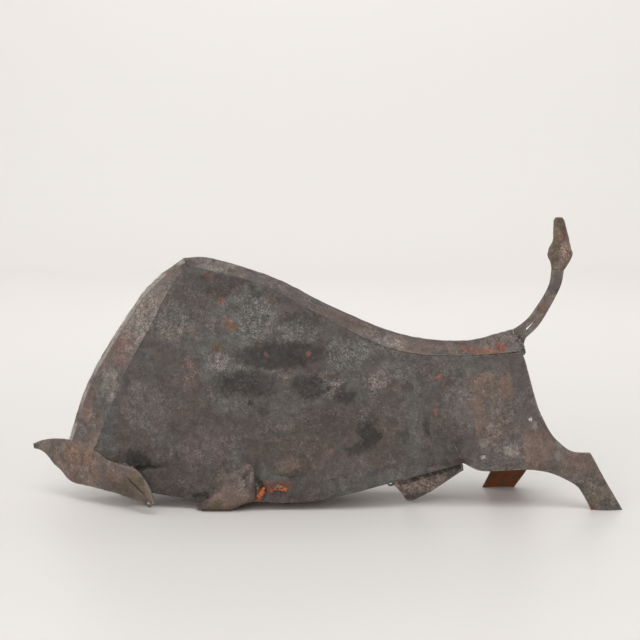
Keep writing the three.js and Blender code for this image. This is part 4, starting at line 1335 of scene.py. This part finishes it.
def rough_skin(tree, shader, place, amount, roughness):
    """Gloss that changes in blots, and a bump that is higher where the crust is thick."""
    tree.links.new(spread(tree, mottle(tree, place, 5, 4, 0.65, 170), 0.35, 0.65, *roughness),
                   shader.inputs["Roughness"])
    lift = add_node(tree, "ShaderNodeMath", {0: amount, 1: 0.5}, operation="ADD").outputs[0]
    rough = multiply(tree, mottle(tree, place, 2.1, 5, 0.75, 15), lift)
    bump = add_node(tree, "ShaderNodeBump", {
        "Height": rough, "Strength": 0.5, "Distance": BUMP_DEPTH * MM})
    tree.links.new(bump.outputs[0], shader.inputs["Normal"])


print("the crust's bump in millimetres:", BUMP_DEPTH)

# %% The whole patina
def patina(name, base, marks=(), crust=(), crusty=0.32, specks=0.22, blot=1.0, rubbed=0.5,
           inside="clay", roughness=(0.5, 0.78)):
    """An iron finish. base names the main, the warm and the cool tone. marks are ellipses with a
    tone and a strength, and crust are ellipses where the crust is thick. blot scales the blots."""
    material = bpy.data.materials.new(name)
    material.use_nodes = True
    tree = material.node_tree
    shader = tree.nodes["Principled BSDF"]
    where = add_node(tree, "ShaderNodeTexCoord").outputs["Object"]
    place = add_node(tree, "ShaderNodeMapping", {
        "Vector": where, "Scale": (1 / MM, 1 / MM, 1 / MM), "Location": tuple(-SHIFT)}).outputs[0]
    amount = crust_amount(tree, place, crust, crusty)
    colour = base_colour(tree, place, base, marks, specks, blot)
    colour = add_node(tree, "ShaderNodeVectorMath", {
        0: colour, 3: crust_layers(tree, place, amount)}, operation="SCALE").outputs[0]
    colour = pale_dots(tree, place, colour)
    colour = worn_and_rusty(tree, place, colour, rubbed, inside)
    tree.links.new(colour, shader.inputs["Base Color"])
    shader.inputs["Metallic"].default_value = 0.0
    shader.inputs["Specular IOR Level"].default_value = 0.3
    rough_skin(tree, shader, place, amount, roughness)
    return material


print("the patina reads these attributes of a mesh: height, wear, inside")

# %% [markdown]
# ## The marks on this bull
# Each entry below is one mark: its x and z in millimetres, its half width and half height, its tone
# and how strong it is. They are painted in this order: clouds of cool and warm scale, dark patches
# with a painted shadow, spots of rust, the haunch with a painted glint, the hoof, painted shade round
# the foreleg, and thin glazes over all of them, among them painted shade along the hem.
# The crust zones say where the pale curls and the pits are thick. The left side, which is seen in
# the photograph, carries most of them, and the right side gets a few of its own.

# %% Marks on the left plates
CLOUDS = [
    (-102, 128, 15, 14, "slate", 0.7), (-43, 131, 15, 15, "slate", 0.7), (-98, 122, 14, 8, "taupe", 0.3),
    (-15, 123, 15, 10.5, "slate", 0.5), (-10, 131, 14, 7, "soot", 0.45),
    (18, 108, 16.6, 14, "slate", 0.8), (52, 95, 15, 8.4, "slate", 0.6), (104, 97, 29, 5, "slate", 0.6),
    (-148, 62, 8.3, 21, "steel", 0.75), (69, 76, 12.4, 18, "slate", 0.35),
    (-145, 40, 5, 7, "steel", 0.4), (-124, 72, 16.5, 21, "mauve", 0.45), (-90, 96, 7, 12.5, "plum", 0.6),
    (-70, 102, 6.2, 5.6, "mauve", 0.7), (-79, 45, 20.5, 15, "plum", 0.35),
    (-21, 55, 41, 19, "umber", 0.35), (40, 89, 9.6, 7.6, "mauve", 0.8), (10, 85, 7.5, 7, "mauve", 0.6),
    (95, 75, 9.6, 10.4, "mauve", 0.5), (-100, 22, 18, 11, "umber", 0.6), (-23, 94, 8, 3.6, "mauve", 0.6),
    (8, 33, 30, 9, "plum", 0.25),
]
SHADOWS = [
    (-27, 107, 34, 9, "soot", 0.8), (-52, 88, 24, 10, "soot", 0.75), (-7, 86, 14, 10, "soot", 0.8),
    (18, 80, 9, 7, "soot", 0.75), (-62, 89, 5.5, 2.8, "char", 0.5), (34, 52, 9, 10, "soot", 0.85),
    (24, 43, 9, 5, "soot", 0.6), (36, 63, 5.5, 4.2, "soot", 0.6), (72, 57, 2.7, 7, "soot", 0.7),
    (59, 51, 3.4, 5.5, "soot", 0.5), (-48, 75, 2.1, 2.1, "soot", 0.9), (-39, 69, 4.8, 2.8, "soot", 0.6),
    # The first mark on this line is painted shadow on the neck behind the near horn.
    (-128, 34, 11, 9, "soot", 0.8), (-66, 155, 24, 7, "soot", 0.45), (-45, 149, 7, 4.2, "soot", 0.5),
    (96, 43, 3.4, 8.3, "soot", 0.4), (127, 56, 2.1, 2.1, "soot", 0.8), (87, 33, 15, 2.8, "soot", 0.5),
    (60, 84, 5, 4, "soot", 0.4),
]
RUST_SPOTS = [
    (-77, 160, 6.3, 2.8, "rust", 0.45), (-69, 144, 3.5, 2.8, "rust", 0.5),
    (-64, 130, 3.5, 3.5, "rust", 0.45), (-61, 126, 4.1, 2.8, "ochre", 0.85),
    (-71, 112, 5.5, 4.2, "ochre", 0.35), (-37, 108, 1.5, 1.4, "pink", 0.6),
    (-42, 114, 1.7, 1.4, "rust", 0.6), (-8, 108, 2.3, 1.3, "pink", 0.6),
    (-35, 145, 3.8, 1.4, "rust", 0.3), (83, 91, 2.3, 1.7, "pink", 0.75),
    (80, 68, 1.8, 2.8, "pink", 0.75), (114, 90, 15, 2.8, "rust", 0.35),
]
HAUNCH_TONES = [
    (126, 62, 32, 40, "mauve", 0.55), (170, 34, 28, 18, "taupe", 0.45), (109, 71, 4.8, 19, "brown", 0.6),
    (129, 86, 4.8, 7.7, "brown", 0.7), (149, 45, 11.6, 15, "brown", 0.65),
    (175, 34, 13.7, 8.3, "brown", 0.45), (18, 51, 2.1, 2.1, "pink", 0.4), (8, 41, 2, 2.2, "pink", 0.4),
    (132, 42, 5.5, 3.5, "dust", 0.75), (113, 47, 3.4, 3.5, "dust", 0.6),
    (113, 37, 2.7, 1.5, "bright", 0.6), (165, 38, 3.4, 3.5, "dust", 0.5),
    # The thin white streak at x 146.5 is a painted glint on the haunch's rear edge.
    (149, 58, 1.5, 3.5, "dust", 0.7), (146.5, 62, 0.8, 2.1, "bright", 1.0),
]
HOOF_TONES = [
    (195, 15, 11, 12, "taupe", 0.7), (190, 9, 5.5, 8, "olive", 0.5), (193, 20, 5.5, 2.8, "pine", 0.6),
    (198, 6, 4.8, 3.4, "pine", 0.5), (189, 2, 2.5, 1.7, "rust", 0.8), (203, 7, 2.1, 5.5, "dust", 0.4),
]
FORELEG_SHADE = [
    # The first mark is painted shade beside the foreleg's fold, and the two darkest ones are painted
    # shadow in the recess between the hem and the hoof.
    (-43, 29, 4.1, 10.3, "soot", 0.5), (-19, 26, 11.6, 2.1, "soot", 0.5),
    (-84, 10.6, 5, 1.7, "char", 0.9), (-77, 12, 4.5, 1.3, "char", 0.7),
]
GLAZES = [
    (-66, 152, 15, 8, "umber", 0.5), (5, 62, 20, 10, "soot", 0.25), (119, 84, 16, 11, "brown", 0.35),
    (100, 72, 9, 18, "mauve", 0.5), (45, 100, 22, 12, "slate", 0.4), (-73, 154, 14, 9, "soot", 0.3),
    (122, 58, 15, 12, "brown", 0.25), (-45, 12, 4, 5, "ochre", 0.5), (-36, 17, 6, 5, "clay", 0.3),
    (-24, 31, 11, 7, "brown", 0.35), (-39, 15, 5.5, 3.4, "rust", 0.5), (-25, 18, 6, 4, "clay", 0.35),
    # The two long thin marks on this line are painted shade along the hem, darker towards the bottom.
    (-95, 12, 26, 3, "soot", 0.4), (-10, 10, 34, 3, "soot", 0.3),
]
LEFT_MARKS = [*CLOUDS, *SHADOWS, *RUST_SPOTS, *HAUNCH_TONES, *HOOF_TONES, *FORELEG_SHADE, *GLAZES]
LEFT_CRUST = [
    (-70, 138, 62, 24, 0.5), (-102, 128, 15, 14, 0.75), (-43, 131, 16, 16, 1.0), (-15, 123, 16, 10, 0.8),
    (18, 108, 17, 14, 0.8), (52, 95, 16, 9, 0.6), (-90, 96, 8, 12, 0.6), (-70, 102, 9, 8, 0.9),
    (10, 85, 10, 9, 1.0), (40, 89, 12, 9, 0.9), (-23, 94, 10, 5, 0.6), (-3, 87, 18, 10, 0.7),
    (-55, 92, 20, 10, 0.6), (-112, 72, 16, 20, 0.45), (-83, 39, 15, 12, 0.3), (131, 43, 8, 5, 0.6),
    (113, 42, 5, 9, 0.4), (122, 62, 9, 16, 0.7), (40, 112, 20, 5, 1.0), (75, 98, 30, 6, 0.5),
    (-60, 148, 26, 10, 0.65), (60, 72, 20, 12, 0.3), (92, 76, 10, 12, 0.5), (190, 20, 8, 10, 0.5),
    (105, 92, 26, 6, 0.5),
]
print("marks on the left plates:", len(LEFT_MARKS))

# %% Marks on the left facets and on the far side
FACET_MARKS = [
    # The first mark is pale dust over the middle of the neck facet, with a painted highlight there.
    (-118, 134, 18, 30, "dust", 0.45), (-129, 117, 12, 15, "dust", 0.2), (-147, 84, 7, 13, "dust", 0.55),
    (-158, 44, 7, 12, "taupe", 0.6), (-150, 47, 5, 8, "slate", 0.5), (-136, 113, 6.2, 4.2, "pink", 0.4),
    (-138, 100, 4.5, 4, "pink", 0.3), (-160, 70, 5, 17, "brown", 0.2), (-164, 66, 1.2, 14, "rust", 0.2),
    # The pale mark at the hump's top, at x -70, is a painted highlight.
    (-92, 166, 6, 7, "soot", 0.4), (-70, 168, 16, 4, "dust", 0.6), (-35, 153, 22, 7, "mauve", 0.7),
    (-12, 141, 12, 4, "mauve", 0.6), (-1, 135, 12, 2, "rust", 0.3), (20, 128, 18, 5, "plum", 0.5),
    (43, 114, 16, 3.5, "dust", 0.5), (75, 112, 14, 3, "plum", 0.6), (112, 108.5, 18, 2.8, "brown", 0.9),
    (100, 109.5, 16, 2.4, "rust", 0.4), (126, 110, 5, 3.4, "rust", 0.85),
    (118, 107, 14, 1.4, "clay", 0.4), (112, 115, 10, 2.4, "olive", 0.3), (134, 116, 6, 6, "mauve", 0.8),
]
FACET_CRUST = [
    (-128, 118, 14, 18, 0.6), (-147, 84, 8, 13, 0.6), (-120, 132, 14, 24, 0.75), (43, 114, 20, 4, 0.7),
    (-60, 166, 16, 5, 0.5), (-150, 75, 12, 30, 0.3), (-30, 150, 20, 8, 0.3),
]
RIGHT_MARKS = [
    (-90, 140, 24, 20, "slate", 0.6), (-30, 120, 34, 16, "slate", 0.7), (-10, 85, 30, 14, "soot", 0.7),
    (60, 80, 24, 14, "soot", 0.5), (-70, 60, 30, 22, "mauve", 0.6), (20, 35, 50, 14, "umber", 0.6),
    (115, 70, 12, 24, "brown", 0.65), (140, 30, 20, 18, "brown", 0.5), (-80, 110, 5, 4, "ochre", 0.7),
    (-20, 60, 2.2, 2, "pink", 0.7), (40, 100, 3, 2, "rust", 0.7), (90, 60, 5, 9, "plum", 0.5),
    (-130, 60, 9, 14, "steel", 0.5), (-50, 150, 14, 5, "dust", 0.4),
]
RIGHT_CRUST = [
    (-85, 132, 20, 18, 0.9), (-25, 118, 26, 12, 0.9), (30, 88, 18, 12, 0.8), (-100, 70, 18, 20, 0.5),
    (120, 60, 12, 20, 0.6),
]
print("marks on the facets and on the far side:", len(FACET_MARKS), len(RIGHT_MARKS))

# %% Marks on the smaller pieces
FORELEG_MARKS = [
    (-60, 8, 18, 8, "brown", 0.6), (-58, 27, 16, 8, "taupe", 0.5), (-62, 12, 15, 9, "taupe", 0.7),
    # The mark at x -80 is painted shadow in the notch over the hoof, and the one at x -49 painted shade
    # beside the fold.
    (-68, 26, 10, 3, "pine", 0.5), (-80, 10.3, 5, 1.4, "char", 0.6), (-52, 18, 2.2, 7, "dust", 0.35),
    (-76, 0.8, 2, 1.4, "ochre", 0.7), (-66, 1.2, 2, 1.4, "ochre", 0.6), (-49, 26, 2.4, 8, "soot", 0.5),
    (-46, 12, 2, 8, "plum", 0.5), (-70, 4, 14, 3, "olive", 0.6),
]
FORELEG_CRUST = [
    (-54, 18, 5, 10, 0.7),
]
CREST_MARKS = [
    (-168, 60, 5, 20, "mauve", 0.4),
]
SPINE_MARKS = [
    # The pale mark on the hump, at x -80, is a painted highlight.
    (95, 118, 40, 8, "umber", 0.5), (-80, 171, 16, 6, "dust", 0.6),
]
HORN_MARKS = [
    (-199, 36, 9, 6, "dust", 0.3), (-205, 33, 4.5, 4, "steel", 0.85), (-188, 34, 6.2, 8, "olive", 0.3),
    (-172, 18, 8, 6, "plum", 0.5), (-152, 30, 9, 7, "mauve", 0.5), (-157, 22, 4.4, 4, "ochre", 0.3),
    (-136, 30, 7, 3, "plum", 0.6), (-130, 17, 15, 9, "olive", 0.65), (-122, 21, 4, 6, "olive", 0.8),
    # The small white spot at the near horn's tip, at x -117.2, is a painted glint.
    (-140, 15, 16, 8, "umber", 0.5), (-118, 9, 4, 4, "umber", 0.7), (-117.2, 8, 1.1, 1.1, "bright", 1.0),
    (-146.5, 31.5, 1.2, 3, "dust", 0.8), (-143, 28.5, 1.4, 1.2, "dust", 0.8),
    (-183, 30, 3, 4, "soot", 0.25), (-123, 24, 3, 3, "pine", 0.3),
]
HORN_CRUST = [
    (-175, 28, 26, 14, 0.6),
]
TAIL_MARKS = [
    (155, 136, 3.4, 4, "ochre", 0.4), (146, 122, 4, 6, "dust", 0.5),
]
TUFT_MARKS = [
    # The olive marks on the leaf's left facet are its tone and painted shade there; the brown mark warms
    # the right facet.
    (162, 180, 5, 18, "olive", 0.8), (168, 194, 6, 8, "olive", 0.6), (172, 176, 5, 8, "brown", 0.8),
    (169.5, 187, 2.6, 3, "rust", 0.6), (166.5, 178, 1, 8, "soot", 0.5), (168, 196, 4, 4, "soot", 0.3),
]
TUFT_CRUST = [
    (172, 176, 6, 8, 0.9),
]
SHEATH_MARKS = [
    # Painted shadow: the first six marks are a dark band under the belly's hem, along the sheath's top.
    (58, 17.6, 4, 1.6, "soot", 0.9), (65, 19.8, 5, 2, "soot", 0.9), (73, 22.4, 5, 2.2, "soot", 0.9),
    (81, 25, 5, 2.4, "soot", 0.9), (89, 27.6, 5, 2.6, "soot", 0.9), (96, 29.5, 4, 3, "soot", 0.9),
    (92, 24, 8, 4, "pine", 0.7), (57, 9, 3, 8, "umber", 0.6),
]
SHEATH_CRUST = [
    (70, 14, 16, 8, 1.0),
]
print("marks on the horns:", len(HORN_MARKS))

# %% Finishes
BODY = ("scale", "umber", "slate")
finishes = {
    "left": patina("patinated_plate_left", BODY, LEFT_MARKS, LEFT_CRUST),
    "facet": patina("patinated_facet_left", ("mauve", "taupe", "slate"), FACET_MARKS, FACET_CRUST),
    "right": patina("patinated_plate_right", BODY, RIGHT_MARKS, RIGHT_CRUST),
    "foreleg": patina("foreleg_patina", ("umber", "plum", "mauve"), FORELEG_MARKS, FORELEG_CRUST,
                      crusty=0.3),
    # The crest bar's pale finish is rubbed metal, with a painted highlight along the ridge's edge.
    "crest": patina("rubbed_bar_painted_highlight", ("bright", "dust", "bright"), CREST_MARKS, crusty=0.4,
                    rubbed=0.9, specks=0.1),
    "bar": patina("hammered_bar", ("mauve", "umber", "taupe"), SPINE_MARKS, crusty=0.4,
                  rubbed=0.7, specks=0.15),
    "horn": patina("horn_plate", ("taupe", "brown", "mauve"), HORN_MARKS, HORN_CRUST, crusty=0.2),
    "tail": patina("forged_tail", ("mauve", "scale", "taupe"), TAIL_MARKS, crusty=0.2, specks=0.1),
    "tuft": patina("forged_tuft", ("taupe", "brown", "mauve"), TUFT_MARKS, TUFT_CRUST, crusty=0.4,
                   specks=0.2),
    "sheath": patina("sheath_patina", ("mauve", "umber", "taupe"), SHEATH_MARKS, SHEATH_CRUST,
                     crusty=0.6),
    "fresh_weld": patina("fresh_rusty_weld", ("rust", "ember", "umber"), crusty=1.0, specks=0.6,
                         blot=0.11, rubbed=0.1, roughness=(0.7, 0.95)),
    "old_weld": patina("old_weld", ("umber", "mauve", "scale"), crusty=0.5, blot=0.2, rubbed=0.2),
}
WORN_BY = {
    "facet": ["left_neck_facet_plate", "left_back_facet_plate"],
    "left": ["left_flank_plate", "left_brisket_plate", "left_haunch_plate", "left_hind_shank_plate",
             "rump_closing_plate"],
    "right": [name for name in pieces if name.startswith("right") and name.endswith("_plate")
              and "horn" not in name],
    "foreleg": ["left_foreleg_lump", "right_foreleg_lump"],
    "crest": ["crest_bar"],
    "bar": ["spine_bar"],
    "horn": ["left_horn_plate", "face_plate_hammered", "right_horn_plate"],
    "tail": ["tail_bar_forged"],
    "tuft": ["tail_tuft_leaf"],
    "sheath": ["sheath_scrap"],
    "fresh_weld": [name + "_bead" for name in FRESH_WELDS],
    "old_weld": [name + "_bead" for name in BEADS if name not in FRESH_WELDS],
}
for finish, names in WORN_BY.items():
    for name in names:
        pieces[name].data.materials.append(finishes[finish])
bare = [name for name, piece in pieces.items() if not piece.data.materials]
print("finishes:", len(finishes), "pieces without one:", bare)

# %% [markdown]
# ## Floor and backdrop
# In a studio the table runs up into the wall in one bend, so that no line shows behind the object.
# The surface is a profile, flat, then a quarter circle, then upright, drawn out along X.

# %% Floor and backdrop
BEND_START, BEND_RADIUS, WALL_TOP, NEAR_EDGE, HALF_WIDTH = 1.35, 0.6, 1.6, -2.4, 2.6
BEND_POINTS, LENGTHS = 40, 9


def sweep_profile():
    """Y and z along the floor, round the bend and up the wall."""
    angle = np.linspace(0, math.pi / 2, BEND_POINTS)
    bend = np.stack([BEND_START + BEND_RADIUS * np.sin(angle),
                     BEND_RADIUS * (1 - np.cos(angle))], -1)
    return np.vstack([[NEAR_EDGE, 0], bend, [BEND_START + BEND_RADIUS, WALL_TOP]])


profile = sweep_profile()
x = np.linspace(-HALF_WIDTH, HALF_WIDTH, LENGTHS)
points = np.stack(np.broadcast_arrays(x[:, None], profile[:, 0], profile[:, 1]), -1)
sweep_mesh = bpy.data.meshes.new("studio_sweep")
sweep_mesh.from_pydata(points.reshape(-1, 3).tolist(), [],
                       grid_quads(np.arange(points[..., 0].size).reshape(LENGTHS, -1)).tolist())
sweep_mesh.polygons.foreach_set("use_smooth", np.ones(len(sweep_mesh.polygons), bool))
sweep = bpy.data.objects.new("studio_sweep", sweep_mesh)
bpy.context.scene.collection.objects.link(sweep)

floor_material = bpy.data.materials.new("pale_paper")
floor_material.use_nodes = True
tree = floor_material.node_tree
shader = tree.nodes["Principled BSDF"]
where = add_node(tree, "ShaderNodeTexCoord").outputs["Object"]
cloud = add_node(tree, "ShaderNodeTexNoise", {"Vector": where, "Scale": 1.4, "Detail": 2.0})
tone = blend_colour(tree, cloud.outputs["Fac"], paint(241, 239, 236), paint(239, 236, 233))
tree.links.new(tone, shader.inputs["Base Color"])
shader.inputs["Roughness"].default_value = 0.4
shader.inputs["Specular IOR Level"].default_value = 0.3
sweep_mesh.materials.append(floor_material)
print("sweep from y", profile[0, 0], "to", profile[-1, 0])

# %% [markdown]
# ## Light and camera
# A large soft lamp stands in front, over the camera and a little to the left. It is low enough to
# light the floor under the belly, so the shadow falls behind the bull. A second one hangs high up
# in front and lights the back and the floor, a third one lights the wall, and the pale room fills
# the rest. The camera looks down on the bull by 8 degrees through a long lens.

# %% Lights
ROOM_TONE, ROOM_STRENGTH = (1.0, 0.985, 0.97, 1.0), 0.47
LAMP_TONE = (1.0, 0.985, 0.965)
scene = bpy.context.scene
world = bpy.data.worlds.new("pale_room")
scene.world = world
world.use_nodes = True
background = world.node_tree.nodes["Background"]
background.inputs["Color"].default_value = ROOM_TONE
background.inputs["Strength"].default_value = ROOM_STRENGTH


def soft_lamp(name, place, target, width, height, power):
    """A flat lamp that looks at a target. It shines straight down at first. It is tilted by the
    angle between that and the aim, and turned round until it faces the aim's way on the floor."""
    data = bpy.data.lights.new(name, "AREA")
    data.shape = "RECTANGLE"
    data.size, data.size_y = width, height
    data.energy = power
    data.color = LAMP_TONE
    lamp = bpy.data.objects.new(name, data)
    lamp.location = place
    aim = np.array(target) - np.array(place)
    flat = math.hypot(aim[0], aim[1])
    lamp.rotation_euler = (math.atan2(flat, -aim[2]), 0, math.atan2(aim[1], aim[0]) - math.pi / 2)
    scene.collection.objects.link(lamp)
    return lamp


BULL_MIDDLE = (0.0, 0.0, 0.08)
soft_lamp("front_softbox", (-0.55, -1.9, 0.75), BULL_MIDDLE, 1.2, 0.7, 12)
soft_lamp("top_softbox", (0.1, -1.0, 1.7), BULL_MIDDLE, 1.4, 1.4, 16)
soft_lamp("wall_softbox", (0.0, 0.75, 1.1), (0.0, 1.6, 0.1), 2.4, 0.5, 7.5)
print("lamps:", [light.name for light in bpy.data.lights])

# %% Camera
CAMERA_TILT, CAMERA_DISTANCE, AIM_HEIGHT = math.radians(8), 1500.0, 128.0
LENS, SENSOR_WIDTH, FARTHEST = 120.54, 36, 50
camera_data = bpy.data.cameras.new("studio_camera")
camera_data.lens = LENS
camera_data.sensor_width = SENSOR_WIDTH
camera_data.clip_end = FARTHEST
camera = bpy.data.objects.new("studio_camera", camera_data)
aim = SHIFT + np.array([0, 0, AIM_HEIGHT])
back_off = np.array([0, -math.cos(CAMERA_TILT), math.sin(CAMERA_TILT)]) * CAMERA_DISTANCE
camera.location = ((aim + back_off) * MM).tolist()
camera.rotation_euler = (math.pi / 2 - CAMERA_TILT, 0, 0)
scene.collection.objects.link(camera)
scene.camera = camera
scene.view_settings.view_transform = "Standard"
print("camera at", [round(value, 3) for value in camera.location])

# %% [markdown]
# ## The end
# The pieces must stay within the box of the imported solids. The scene is brought up to date once
# more.

# %% The end
bpy.context.view_layer.update()
